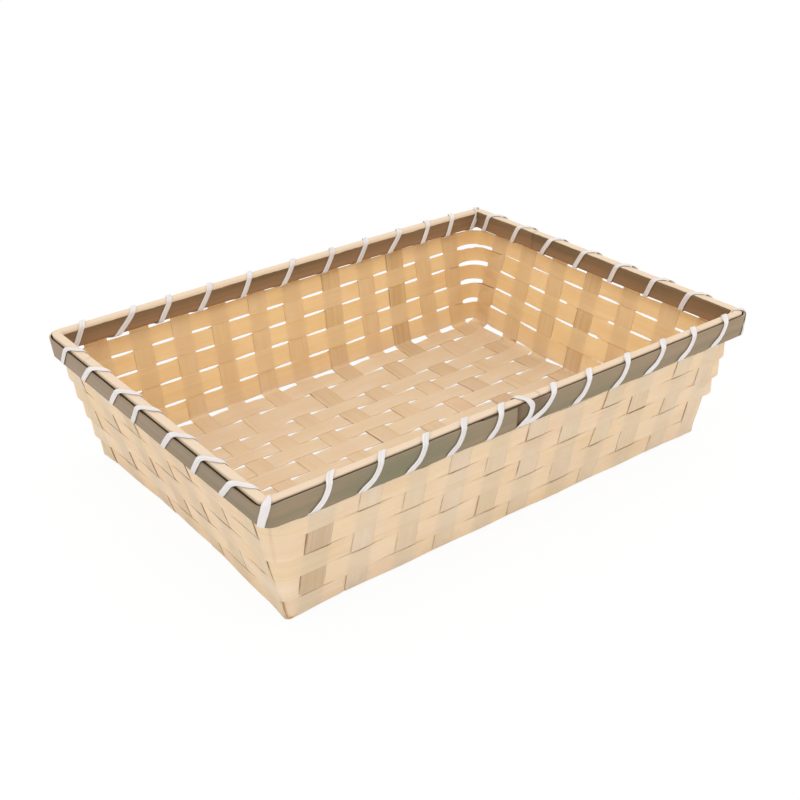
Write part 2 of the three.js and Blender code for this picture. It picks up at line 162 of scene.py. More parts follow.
# How wide the slits in the seams are, by the wall, and the stretches where a seam is nearly
# shut: the seam, the wall, where the stretch begins and ends, and the share that is left.
SLITS = [0.0, 1.9, 1.9, 0.0]
SHUT = [
    (1, 1, -140, 46, 0.1),
    (2, 1, -140, -16, 0.1),
    (3, 1, -24, 24, 0.1),
    (4, 1, 84, 140, 0.3),
    (4, 1, 46, 84, 0.5),
]

# Where the stakes end in the rim's slot, at the front, right, back and left.
STAKE_TOPS = [96, 99, 99, 94]

# How far the foot of each wall, front, right, back and left, is pressed in at its middle,
# and how far the right foot stands in all along.
BOWS = [1, 0, 0, 3.5]
RIGHT_STEP = 3

# How far the rounds' edges part at each corner, where they stand upright on the wall's
# slope: after the front, the right, the back and the left wall.
CORNER_PARTING = [2, 2.4, 1.2, 0.3]


def lerp(a, b, share):
    return a + (b - a) * share


def clamp(value, low=0.0, high=1.0):
    return max(low, min(high, value))


def smooth(share):
    share = clamp(share)
    return share * share * (3 - 2 * share)


def through(knots, x):
    """A smooth line through (x, value) knots."""
    if x <= knots[0][0]:
        return knots[0][1]
    for (x0, v0), (x1, v1) in zip(knots, knots[1:]):
        if x <= x1:
            return lerp(v0, v1, smooth((x - x0) / (x1 - x0)))
    return knots[-1][1]


def hugging(crossings, flat):
    """Knots that stay flat over a share of each crossing: (middle, half width, value)."""
    knots = []
    for middle, half, value in crossings:
        knots += [(middle - half * flat, value), (middle + half * flat, value)]
    return knots


class Wander:
    """A slow, seeded wave, for what a hand leaves uneven."""

    def __init__(self, seed, size, length):
        dice = random.Random(seed)
        self.waves = [
            (size * dice.uniform(0.3, 0.6), length * dice.uniform(0.6, 1.6), dice.uniform(0, 6.28))
            for _ in range(3)
        ]

    def __call__(self, s):
        return sum(size * math.sin(6.283 * s / length + phase) for size, length, phase in self.waves)


# The basket's ring, as in the solids: a place on it is a wall and a distance from that
# wall's middle, or a wall and a turn in the corner after it.
OUTWARD = [Vector((0, -1, 0)), Vector((1, 0, 0)), Vector((0, 1, 0)), Vector((-1, 0, 0))]


def is_long(wall):
    return wall % 2 == 0


def wall_at(z, corner=RIM_CORNER):
    """Half length, half width and corner radius of the stakes' middle surface."""
    rim_inset = BAND + CLEARANCE + SPLINT / 2
    foot_inset = 1.5 * SPLINT + CLEARANCE
    rim = (RIM_LENGTH / 2 - rim_inset, RIM_WIDTH / 2 - rim_inset)
    foot = (FOOT_LENGTH / 2 - foot_inset, FOOT_WIDTH / 2 - foot_inset)
    radius = lerp(FOOT_CORNER, corner, z / RIM_TOP)
    if z >= RIM_BOTTOM:
        inset = RIM_LEAN * (RIM_TOP - z) / (RIM_TOP - RIM_BOTTOM)
        return rim[0] - inset, rim[1] - inset, radius
    rise = z / RIM_BOTTOM
    return (
        lerp(foot[0], rim[0] - RIM_LEAN, rise),
        lerp(foot[1], rim[1] - RIM_LEAN, rise),
        radius,
    )


def foot_share(z):
    return clamp(1 - z / RIM_BOTTOM)


def wall_out(wall, u, z):
    """How far out a wall's middle surface is, a distance u from the wall's middle."""
    a, b, _ = wall_at(z)
    out = b if is_long(wall) else a
    if wall == 1:
        out -= RIGHT_STEP * foot_share(z)
    half = a if is_long(wall) else b
    return out - BOWS[wall] * max(1 - (u / half) ** 2, 0) * foot_share(z)


# Where the last stake of a long and of a short wall ends. Up to there a place keeps its
# distance from the wall's middle at every height.
LAST_STAKES = [CROSS_PITCH * 5 + CROSS_WIDTH / 2 + 0.1, LONG_PITCH * 6 + STAKE_WIDTH / 2 + 0.1]


class Ring:
    """The ring at one height, as one distance s that is 0 at the middle of the front wall."""

    def __init__(self, z, corner=RIM_CORNER):
        a, b, r = wall_at(z, corner)
        self.corner = corner
        self.radius = r
        self.quarter = a + b - 2 * r + r * math.pi / 2
        self.straights = [a - r, b - r, a - r, b - r]
        self.length = 4 * self.quarter

    def along(self, wall, u):
        return wall * self.quarter + u

    def corner_start(self, wall):
        return wall * self.quarter + self.straights[wall % 4]

    def corner_end(self, wall):
        return (wall + 1) * self.quarter - self.straights[(wall + 1) % 4]

    def place(self, s):
        once = s % self.length
        for count in range(5):
            if once <= self.corner_end(count):
                break
        wall = count % 4
        u = once - count * self.quarter
        straight = self.straights[wall]
        if u <= straight:
            return wall, u, straight, None
        return wall, u, straight, (u - straight) / self.radius

    def near_corner(self, s, reach):
        """The nearest corner, and 1 in it, falling to 0 this far from it."""
        wall, u, straight, turn = self.place(s)
        if turn is not None:
            return wall, 1.0
        corner = wall if u > 0 else (wall - 1) % 4
        return corner, smooth(1 - (straight - abs(u)) / reach)

    def point(self, s, z, offset):
        wall, u, own_straight, turn = self.place(s)
        a, b, r = wall_at(z, self.corner)
        n = OUTWARD[wall]
        d = OUTWARD[(wall + 1) % 4]
        step = RIGHT_STEP * foot_share(z)
        straight = (a if is_long(wall) else b) - r
        if wall == (0 if u > 0 else 2):
            straight -= step
        if turn is None:
            keep = LAST_STAKES[wall % 2]
            past = max(abs(u) - keep, 0) / (own_straight - keep) if own_straight > keep else 0
            reach = min(abs(u), keep) + past * (straight - keep)
            out = wall_out(wall, u, z) + offset
            return n * out + d * math.copysign(reach, u) + Vector((0, 0, z))
        spread = r + offset
        out = (b if is_long(wall) else a) - (step if wall == 1 else 0)
        return (
            n * (out - r + spread * math.cos(turn))
            + d * (straight + spread * math.sin(turn))
            + Vector((0, 0, z))
        )

    def normal(self, s):
        wall, _, _, turn = self.place(s)
        turn = turn or 0
        return OUTWARD[wall] * math.cos(turn) + OUTWARD[(wall + 1) % 4] * math.sin(turn)


def cross_place(n):
    return (n - (CROSS_COUNT + 1) / 2) * CROSS_PITCH


def long_place(n):
    return ((LONG_COUNT + 1) / 2 - n) * LONG_PITCH


def base_rise(x, y):
    """How far the base curves up towards the back wall, most at the right, and the front."""
    return (0.083 + 0.00018 * x) * max(y - 81, 0) + 0.06 * max(-y - 108, 0)


def zone(values, run, foot):
    """One of three values: before a splint's first foot, on the base, past its second."""
    first, base, last = values
    near = smooth((run + foot) / 8 + 0.5)
    far = smooth((run - foot) / 8 + 0.5)
    return lerp(lerp(first, base, near), last, far)


class Stake(namedtuple("Stake", "wall u half low_lean high_lean")):
    """A stake where it climbs a wall."""

    def u_at(self, z):
        return self.u + lerp(self.low_lean, self.high_lean, z / RIM_TOP)


CROSS = [(cross_place(n + 1), CROSS_WIDTH / 2, ways[0]) for n, ways in enumerate(CROSS_WAYS)]
LONG = [(long_place(2 * n + 1), STAKE_WIDTH / 2, ways[0]) for n, ways in enumerate(LONG_WAYS)]
STAKES = [
    Stake(wall, sign * place, half, sign * leans[low], sign * leans[high])
    for wall, stakes, sign, low, high in (
        (0, CROSS, 1, 1, 0),
        (1, LONG[::-1], 1, 3, 4),
        (2, CROSS[::-1], -1, 3, 4),
        (3, LONG, -1, 1, 0),
    )
    for place, half, leans in stakes
]


def round_side(row, index):
    """Outside (1) or inside (-1) of the stake with this index, for a round from the bottom."""
    return 1 if (row + index) % 2 == 0 else -1


class Wire:
    """A socket in a sum: an expression on it adds its Math nodes."""

    def __init__(self, tree, socket):
        self.tree = tree
        self.socket = socket

    def math(self, operation, *others):
        return self.tree.math(operation, self, *others)

    def __add__(self, other):
        return self.math("ADD", other)

    def __sub__(self, other):
        return self.math("SUBTRACT", other)

    def __rsub__(self, other):
        return self.tree.math("SUBTRACT", other, self)

    def __mul__(self, other):
        return self.math("MULTIPLY", other)

    def __truediv__(self, other):
        return self.math("DIVIDE", other)

    def __pow__(self, other):
        return self.math("POWER", other)

    __radd__ = __add__


class Tree:
    """Adds nodes to a tree: a type, its settings, then the values or wires of its sockets."""

    def __init__(self, tree):
        self.tree = tree

    def add(self, kind, settings=None, sockets=(), output=0):
        node = self.tree.nodes.new(kind)
        for key, value in (settings or {}).items():
            setattr(node, key, value)
        pairs = sockets.items() if isinstance(sockets, dict) else enumerate(sockets)
        for key, value in pairs:
            self.feed(node.inputs[key], value)
        return Wire(self, node.outputs[output]) if len(node.outputs) else None

    def feed(self, socket, value):
        if isinstance(value, Wire):
            self.tree.links.new(value.socket, socket)
        else:
            socket.default_value = value

    def math(self, operation, *values):
        return self.add("ShaderNodeMath", {"operation": operation}, values)

    def ramp(self, value, low, high):
        """0 up to the low value, 1 from the high one on, and even between them."""
        sockets = {"Value": value, "From Min": low, "From Max": high}
        return self.add("ShaderNodeMapRange", None, sockets)

    def parts(self, vector):
        node = self.tree.nodes.new("ShaderNodeSeparateXYZ")
        self.feed(node.inputs[0], vector)
        return [Wire(self, output) for output in node.outputs]


# The sweep: a section carried along a path of stations.
def strip_tree():
    group = bpy.data.node_groups.new("Strip along its path", "GeometryNodeTree")
    for name, kind in (
        ("Path", "NodeSocketGeometry"),
        ("Section", "NodeSocketObject"),
        ("Edge wander", "NodeSocketFloat"),
        ("Seed", "NodeSocketFloat"),
        ("Material", "NodeSocketMaterial"),
    ):
        group.interface.new_socket(name, in_out="INPUT", socket_type=kind)
    group.interface.new_socket("Strip", in_out="OUTPUT", socket_type="NodeSocketGeometry")
    tree = Tree(group)
    entry = group.nodes.new("NodeGroupInput")
    inputs = {socket.name: Wire(tree, socket) for socket in entry.outputs if socket.name}
    path = inputs["Path"]
    seed = inputs["Seed"]
    section = tree.add("GeometryNodeObjectInfo", None, {"Object": inputs["Section"]}, "Geometry")

    def attribute(name, kind="FLOAT"):
        return tree.add("GeometryNodeInputNamedAttribute", {"data_type": kind}, {"Name": name})

    def count(geometry):
        return tree.add("GeometryNodeAttributeDomainSize", None, {"Geometry": geometry})

    def sample(geometry, value, at, kind="FLOAT"):
        return tree.add(
            "GeometryNodeSampleIndex",
            {"data_type": kind, "domain": "POINT"},
            {"Geometry": geometry, "Value": value, "Index": at},
        )

    def scaled(vector, share):
        sockets = {0: vector, "Scale": share}
        return tree.add("ShaderNodeVectorMath", {"operation": "SCALE"}, sockets)

    def summed(first, second):
        return tree.add("ShaderNodeVectorMath", {"operation": "ADD"}, (first, second))

    around = count(section)
    sizes = {"Vertices X": count(path), "Vertices Y": around + 1}
    grid = tree.add("GeometryNodeMeshGrid", None, sizes)
    index = tree.add("GeometryNodeInputIndex")
    station = ((index + 0.01) / (around + 1)).math("FLOOR")
    step = index - station * (around + 1)
    step = step - around * step.math("GREATER_THAN", around - 0.5)

    own = tree.add("GeometryNodeInputPosition")
    middle = sample(path, own, station, "FLOAT_VECTOR")
    across = sample(path, attribute("across", "FLOAT_VECTOR"), station, "FLOAT_VECTOR")
    facing = sample(path, attribute("facing", "FLOAT_VECTOR"), station, "FLOAT_VECTOR")
    width = sample(path, attribute("width"), station)
    depth = sample(path, attribute("depth"), station)
    along = sample(path, attribute("along"), station)
    closing = sample(path, attribute("closing"), station)
    share_x, share_y, _ = tree.parts(sample(section, own, step, "FLOAT_VECTOR"))
    inset = sample(section, attribute("inset", "FLOAT_VECTOR"), step, "FLOAT_VECTOR")
    inset_x, inset_y, _ = tree.parts(inset)

    where = tree.add("ShaderNodeCombineXYZ", None, (along * 90, share_x * 2 + seed * 7, seed))
    sockets = {"Vector": where, "Scale": 1.0, "Detail": 3.0, "Roughness": 0.6}
    noise = tree.add("ShaderNodeTexNoise", {"noise_dimensions": "3D"}, sockets)
    ragged = (noise - 0.5) * 2 * inputs["Edge wander"] * share_x ** 5
    x = share_x * width * 0.5 + inset_x + ragged
    y = share_y * depth * 0.5 + inset_y
    shifts = summed(scaled(across, x * closing), scaled(facing, y * closing))
    sockets = {"Geometry": grid, "Position": summed(middle, shifts)}
    placed = tree.add("GeometryNodeSetPosition", None, sockets)

    def store(geometry, name, kind, value, domain="POINT"):
        return tree.add(
            "GeometryNodeStoreNamedAttribute",
            {"data_type": kind, "domain": domain},
            {"Geometry": geometry, "Name": name, "Value": value},
        )

    run = tree.add("ShaderNodeCombineXYZ", None, (along, x, y))
    kept = store(placed, "run", "FLOAT_VECTOR", run)
    kept = store(kept, "face", "FLOAT", y / (depth * 0.5))
    kept = store(kept, "side", "FLOAT", x / (width * 0.5))
    for name in ("tone", "stain", "edging"):
        kept = store(kept, name, "FLOAT", sample(path, attribute(name), station))
    kept = store(kept, "piece", "FLOAT", seed)
    kept = store(kept, "UVMap", "FLOAT2", attribute("run", "FLOAT_VECTOR"), "CORNER")
    closed = tree.add(
        "GeometryNodeMergeByDistance", None, {"Geometry": kept, "Distance": 0.000003}
    )
    shaded = tree.add("GeometryNodeSetShadeSmooth", None, {"Geometry": closed})
    whole = tree.add("GeometryNodeRealizeInstances", None, {"Geometry": shaded})
    sockets = {"Geometry": whole, "Material": inputs["Material"]}
    dressed = tree.add("GeometryNodeSetMaterial", None, sockets)
    leave = group.nodes.new("NodeGroupOutput")
    group.links.new(dressed.socket, leave.inputs["Strip"])
    return group


STRIP_TREE = strip_tree()


def new_object(name, data):
    made = bpy.data.objects.new(name, data)
    bpy.context.scene.collection.objects.link(made)
    return made


def section_shape(name, radii, bend=3):
    """A rounded section: radii in mm at its four corners, from the far side's front corner."""
    inner = (0.55, 0.0, -0.55)
    support = 0.3
    points = []
    corners = [(1, 1), (-1, 1), (-1, -1), (1, -1)]
    for i, ((sx, sy), radius) in enumerate(zip(corners, radii)):
        end_angle = math.pi / 2 * (i + 1)
        if i % 2 == 0:
            points.append((sx, sy, 0.0, -sy * (radius + support)))
        for step in range(bend + 1):
            angle = end_angle - math.pi / 2 + math.pi / 2 * step / bend
            shift_x = radius * (math.cos(angle) - sx)
            shift_y = radius * (math.sin(angle) - sy)
            points.append((sx, sy, shift_x, shift_y))
        if i % 2 == 0:
            points.append((sx, sy, -sx * (radius + support), 0.0))
            points += [(sx * share, sy, 0.0, 0.0) for share in inner]
            points.append((-sx, sy, sx * (radii[i + 1] + support), 0.0))
    mesh = bpy.data.meshes.new(name)
    kept = []
    for point in points:
        if not kept or point != kept[-1]:
            kept.append(point)
    mesh.from_pydata([(x, y, 0) for x, y, _, _ in kept], [], [])
    insets = mesh.attributes.new("inset", "FLOAT_VECTOR", "POINT")
    flat = [part for _, _, ix, iy in kept for part in (ix * 0.001, iy * 0.001, 0.0)]
    insets.data.foreach_set("vector", flat)
    return new_object(name, mesh)


SPLINT_SECTION = section_shape("Splint section", (0.12, 0.12, 0.12, 0.12))
BAND_SECTION = section_shape("Band section", (0.35, 0.35, 0.35, 0.35))
HOOP_SECTION = section_shape("Hoop section", (1.2, 1.0, 2.2, 1.4), 4)
SECTIONS = (SPLINT_SECTION, BAND_SECTION, HOOP_SECTION)


# One cut through a strip: its middle, its two directions, its size and its colour.
Station = namedtuple("Station", "middle across facing width depth tone stain edging")


def between(lower, upper, facing, *looks):
    """The station whose cut goes from one edge of a strip to the other."""
    rise = upper - lower
    return Station((lower + upper) / 2, -rise.normalized(), facing, rise.length, *looks)


def settle(name, mesh):
    """Puts a finished mesh in the place of the solid called name."""
    piece = new_object(name + "_detail", mesh)
    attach(piece, "root")
    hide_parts(name)


def sweep(name, stations, material, section, seed, ragged=0.2):
    """Makes the strip called name through its stations, in the place of its solid."""
    ends = [stations[0], *stations, stations[-1]]
    mesh = bpy.data.meshes.new(name + " path")
    mesh.from_pydata([s.middle * 0.001 for s in ends], [], [])
    alongs = [0.0]
    for first, second in zip(ends, ends[1:]):
        alongs.append(alongs[-1] + (second.middle - first.middle).length * 0.001)
    floats = {"along": alongs, "closing": [0.0] + [1.0] * len(stations) + [0.0]}
    for key in ("width", "depth"):
        floats[key] = [getattr(s, key) * 0.001 for s in ends]
    for key in ("tone", "stain", "edging"):
        floats[key] = [getattr(s, key) for s in ends]
    for key, values in floats.items():
        mesh.attributes.new(key, "FLOAT", "POINT").data.foreach_set("value", values)
    for key in ("across", "facing"):
        flat = [part for s in ends for part in getattr(s, key)]
        mesh.attributes.new(key, "FLOAT_VECTOR", "POINT").data.foreach_set("vector", flat)
    holder = new_object(name + " path", mesh)
    modifier = holder.modifiers.new("Strip", "NODES")
    modifier.node_group = STRIP_TREE
    sockets = {
        item.name: item.identifier
        for item in STRIP_TREE.interface.items_tree
        if item.in_out == "INPUT"
    }
    modifier[sockets["Section"]] = section
    modifier[sockets["Edge wander"]] = ragged * 0.001
    modifier[sockets["Seed"]] = float(seed)
    modifier[sockets["Material"]] = material
    bpy.context.view_layer.update()
    seen = holder.evaluated_get(bpy.context.evaluated_depsgraph_get())
    made = bpy.data.meshes.new_from_object(seen)
    made.name = name + "_detail"
    bpy.data.objects.remove(holder)
    bpy.data.meshes.remove(mesh)
    settle(name, made)


# Materials.
def srgb(red, green, blue):
    """A colour written as it is seen, 0 to 255, as the linear colour that Blender takes."""
    parts = []
    for part in (red, green, blue):
        share = part / 255
        parts.append(share / 12.92 if share <= 0.04045 else ((share + 0.055) / 1.055) ** 2.4)
    return (*parts, 1.0)


class Shader(Tree):
    """A material's tree, with the steps that its colour is made in."""

    def __init__(self, name):
        self.material = bpy.data.materials.new(name)
        self.material.use_nodes = True
        super().__init__(self.material.node_tree)
        self.tree.nodes.clear()

    def read(self, name):
        return self.add("ShaderNodeAttribute", {"attribute_name": name}, (), "Fac")

    def mix(self, share, first, second, blend="MIX"):
        sockets = {0: share, 6: first, 7: second}
        return self.add("ShaderNodeMix", {"data_type": "RGBA", "blend_type": blend}, sockets, 2)

    def grain(self, along, across, detail=3.0, seed=0.0):
        """Noise on the strip's own run, with so many cells per metre along it and across it."""
        lengthwise, crosswise, _ = self.parts(self.add("ShaderNodeUVMap", {"uv_map": "UVMap"}))
        piece = self.read("piece") * 3.7 + seed
        places = (lengthwise * along, crosswise * across, piece)
        where = self.add("ShaderNodeCombineXYZ", None, places)
        sockets = {"Vector": where, "Scale": 1.0, "Detail": detail, "Roughness": 0.55}
        return self.add("ShaderNodeTexNoise", {"noise_dimensions": "3D"}, sockets)

    def finish(self, colour, roughness, height, relief=0.0002, through=0.0):
        """A satin surface, and for a thin strip some light from behind."""
        sockets = {"Height": height, "Distance": relief, "Strength": 0.6}
        normal = self.add("ShaderNodeBump", None, sockets)
        sockets = {
            "Base Color": colour,
            "Roughness": roughness,
            "Normal": normal,
            "Specular IOR Level": 0.3,
        }
        shader = self.add("ShaderNodeBsdfPrincipled", None, sockets)
        if through:
            gold = self.mix(1.0, colour, srgb(255, 249, 234), "MULTIPLY")
            glow = self.add("ShaderNodeBsdfTranslucent", None, {"Color": gold, "Normal": normal})
            shader = self.add("ShaderNodeMixShader", None, (through, shader, glow))
        self.add("ShaderNodeOutputMaterial", None, {"Surface": shader})
        return self.material


def splint_material(name, pale, straw, rose, brown):
    """Split bamboo, with painted light on the side that is turned into the basket: brighter on the
    base, where the walls shade it, and warmer on the walls, for the orange light that comes through
    the splints.
    """
    tree = Shader(name)
    fibre = tree.grain(25, 2200)
    streak = tree.grain(6, 380, 2.0)
    cloud = tree.grain(26, 50, 2.0)
    hue = tree.grain(16, 40, 1.0, 5.0)
    tone = tree.read("tone")
    stain = tree.read("stain")
    tint = tree.mix(tree.ramp(hue, 0.35, 0.65), straw, rose)
    depth = 0.42 + tone * 0.35 + (streak - 0.5) * 0.8 + (cloud - 0.5) * 0.9 + (fibre - 0.5) * 0.3
    colour = tree.mix(tree.ramp(depth, 0.0, 1.0), pale, tint)
    browner = (tone - 0.25) * 0.25 + stain * (0.35 + fibre * 0.4)
    browner = browner + (streak - 0.5) * tree.ramp(tone, 0.3, 0.9) * 0.45
    colour = tree.mix(tree.ramp(browner, 0.0, 1.0), colour, brown)
    # Painted shade: a brown line along one edge of each strip, for the shade in the crevice beside
    # it, with some brown of the cut edge itself.
    edging = tree.read("edging")
    ragged = tree.grain(160, 40, 2.0, 3.0)
    broken = tree.grain(60, 60, 1.0, 9.0)
    reach = tree.read("side") * edging.math("SIGN") + (ragged - 0.5) * 0.12
    edge_mask = tree.ramp(reach, 0.88, 0.95) * edging.math("ABSOLUTE")
    edge_mask = edge_mask * tree.ramp(broken, 0.32, 0.58)
    colour = tree.mix(tree.ramp(edge_mask, 0.0, 1.15), colour, brown)
    inner = 1 - tree.ramp(tree.read("face"), -0.3, 0.3)
    _, _, height = tree.parts(tree.add("ShaderNodeTexCoord", None, (), "Object"))
    wall = tree.ramp(height, 0.003, 0.02)
    # Painted light: the inner face is brightened on the base and tinted orange on the walls, for the
    # shade of the walls and the light that comes through the splints.
    inside_light_tint = tree.mix(wall, (1.1, 1.035, 0.96, 1), (1.08, 0.97, 0.745, 1))
    colour = tree.mix(inner, colour, tree.mix(1.0, colour, inside_light_tint, "MULTIPLY"))
    rough = 0.6 - (streak - 0.5) * 0.25
    return tree.finish(colour, rough, fibre * 0.6 + streak * 0.4, 0.00015, 0.34)


def band_material(name, olive, tan, brown, wood):
    """Bamboo skin on the outer face, bare wood on the far edges, and the inner face painted dark
    brown as painted shade in the slot behind the band.
    """
    tree = Shader(name)
    fibre = tree.grain(14, 1500)
    streak = tree.grain(4, 240, 2.0)
    cloud = tree.grain(14, 60, 2.0)
    tone = tree.read("tone")
    side = tree.read("side")
    depth = 0.45 + tone * 0.6 + (streak - 0.5) * 0.9 + (cloud - 0.5) * 0.8 + (fibre - 0.5) * 0.4
    skin = tree.mix(tree.ramp(depth, 0.0, 1.0), olive, tan)
    # Stains, and at the splice a painted shadow at the lapping end's cut edge, turn the skin brown.
    skin = tree.mix(tree.ramp(tree.read("stain"), 0.0, 1.0), skin, brown)
    edge_mask = tree.ramp((streak - 0.5) * 0.02 - side, 0.965, 0.98) * tree.read("edging")
    colour = tree.mix(edge_mask, skin, wood)
    # Painted shade: the inner face, which faces the slot beside the hoop, is painted dark brown.
    inside = 1 - tree.ramp(tree.read("face"), -0.9, -0.6)
    colour = tree.mix(inside * (1 - edge_mask), colour, brown)
    rough = 0.5 - (streak - 0.5) * 0.2
    return tree.finish(colour, rough, fibre * 0.5 + streak * 0.5)


def hoop_material(name, top, skin, dark, straw):
    """A slat with its skin on the inner face, its bare wood cut over the top, and painted shade on
    its outer face below the band's top, for the slot between them.
    """
    tree = Shader(name)
    fibre = tree.grain(16, 1500)
    streak = tree.grain(5, 300, 2.0)
    cloud = tree.grain(12, 50, 2.0)
    border = tree.grain(120, 30, 3.0, 9.0)
    half_height = 7.1
    tone = tree.read("tone")
    side = tree.read("side")
    face = tree.read("face")
    depth = 0.4 + tone * 0.5 + (streak - 0.5) * 0.9 + (cloud - 0.5) * 0.8 - side * 0.5
    rind = tree.mix(tree.ramp(depth, 0.0, 1.0), skin, dark)
    wood = tree.mix(fibre * 0.4 + (streak - 0.3) * 0.6, top, straw)
    down = (side + 1) * half_height - (face + 1) * (HOOP / 2)
    down = down - tree.read("stain") + (border - 0.5) * 1.2 + (streak - 0.5) * 0.8
    colour = tree.mix(tree.ramp(down, -0.25, 0.25), wood, rind)
    # Painted shade: the outer face is painted dark below the band's top, for the shade in the slot
    # between band and hoop.
    sunk = side * half_height + (half_height + 0.2) - tree.read("edging")
    slot_shade = tree.ramp(face, 0.9, 0.98) * tree.ramp(sunk, 0.0, 0.6)
    colour = tree.mix(slot_shade, colour, dark)
    rough = 0.55 - (streak - 0.5) * 0.2
    return tree.finish(colour, rough, fibre * 0.5 + streak * 0.5)


def lash_material(name, white, grey):
    tree = Shader(name)
    rib = tree.grain(5, 1900, 1.0)
    cloud = tree.grain(60, 200, 2.0)
    share = tree.ramp(rib * 0.7 + cloud * 0.3, 0.35, 0.75)
    colour = tree.mix(share, white, grey)
    return tree.finish(colour, 0.42 + rib * 0.15, rib, through=0.15)


BROWN = srgb(158, 112, 64)
SPLINT_MATERIAL = splint_material(
    "Split bamboo", srgb(243, 231, 210), srgb(234, 213, 170), srgb(232, 208, 175), BROWN
)
BAND_MATERIAL = band_material(
    "Olive bamboo skin",
    srgb(121, 114, 90),
    srgb(153, 129, 103),
    srgb(92, 66, 42),
    srgb(232, 208, 178),
)
HOOP_MATERIAL = hoop_material(
    "Bamboo slat", srgb(216, 197, 174), srgb(146, 112, 80), srgb(104, 84, 56), srgb(220, 190, 154)
)
LASH_MATERIAL = lash_material("White lash", srgb(238, 234, 232), srgb(210, 204, 202))


# Stakes and fillers.
def wall_run(wall, u, level):
    """The middle line of a stake from the base's edge up its wall, as places and normals."""

    def out(z):
        return wall_out(wall, u, z)

    foot = out(0)
    slope = (out(RIM_BOTTOM) - foot) / RIM_BOTTOM
    lean = math.atan(slope)
    turn = math.pi / 2 - lean
    corner_x = foot + slope * level
    centre = (corner_x - FOLD_RADIUS * math.tan(turn / 2), level + FOLD_RADIUS)
    points = []
    for i in range(9):
        angle = -math.pi / 2 + turn * i / 8
        spoke = (math.cos(angle), math.sin(angle))
        points.append((centre[0] + FOLD_RADIUS * spoke[0], centre[1] + FOLD_RADIUS * spoke[1], spoke))
    top = STAKE_TOPS[wall]
    z = points[-1][1] + STEP
    while z < top:
        points.append((out(z), z, (math.cos(lean), -math.sin(lean))))
        z += STEP
    points.append((out(top), top, (1.0, 0.0)))
    return points


SEAM_PLACES = [-165, 0, 165, 0, -165, 0, 165, -85, 0, 85]
SEAM_WALLS = [0, 0, 0, 1, 2, 2, 2, 3, 3, 3]


class Seam:
    """The height of a seam between two rounds, all the way round."""

    def __init__(self, heights, ring):
        places = [ring.along(w, u) for w, u in zip(SEAM_WALLS, SEAM_PLACES)]
        places = [s % ring.length for s in places]
        self.length = ring.length
        knots = sorted(zip(places, heights))
        first = (knots[0][0] + ring.length, knots[0][1])
        last = (knots[-1][0] - ring.length, knots[-1][1])
        self.knots = [last, *knots, first]

    def __call__(self, s):
        return through(self.knots, s % self.length)


SEAM_RING = Ring(50)
SEAM_LINES = [Seam(heights, SEAM_RING) for heights in SEAMS]


def stake_sway(index, z):
    """How far a stake is pushed outwards at height z by the rounds that cross it."""
    stake = STAKES[index]
    knots = [(0.0, 0.0)]
    at = SEAM_RING.along(stake.wall, stake.u)
    for row in range(ROUNDS):
        low, high = SEAM_LINES[row](at), SEAM_LINES[row + 1](at)
        sway = -round_side(row, index) * STAKE_SWAY
        knots += [(lerp(low, high, 0.35), sway), (lerp(low, high, 0.65), sway)]
    knots.append((88.0, 0.0))
    return through(knots, z)


class Splint:
    """A splint of the base and walls, gathered place by place."""

    def __init__(self, seed, tones, edges, foot):
        self.wander = Wander(seed, 0.2, 150)
        self.breadth = Wander(seed + 1, 0.2, 120)
        self.shade = Wander(seed + 2, 0.15, 160)
        self.tones = tones
        self.edges = edges
        self.foot = foot
        self.cuts = []

    def add(self, middle, facing, run, width):
        depth = zone((SPLINT_DEPTH, BASE_DEPTH, SPLINT_DEPTH), run, self.foot - 4)
        tone = zone(self.tones, run, self.foot) + self.shade(run)
        edging = zone(self.edges, run, self.foot)
        self.cuts.append((middle, facing, width + self.breadth(run), depth, tone, edging))

    def make(self, name, seed):
        """Sweeps the splint, with its cuts square to its path."""
        stations = []
        for i, (middle, facing, width, depth, tone, edging) in enumerate(self.cuts):
            before = self.cuts[max(i - 1, 0)][0]
            after = self.cuts[min(i + 1, len(self.cuts) - 1)][0]
            travel = (after - before).normalized()
            across = travel.cross(facing).normalized()
            square = across.cross(travel).normalized()
            stations.append(Station(middle, across, square, width, depth, tone, 0.0, edging))
        sweep(name, stations, SPLINT_MATERIAL, SPLINT_SECTION, seed)


def climb(put, side, index, points, way, foot):
    """Lays a stake up its wall, in and out with the rounds."""
    for out, z, (facing_out, facing_up) in points:
        sway = stake_sway(index, z) if z > 8 else 0.0
        facing = way * (side * facing_out) + Vector((0, 0, facing_up))
        run = side * (foot + max(z - 2, 0))
        put(side * (out + sway * facing_out), z + sway * facing_up, facing, run)


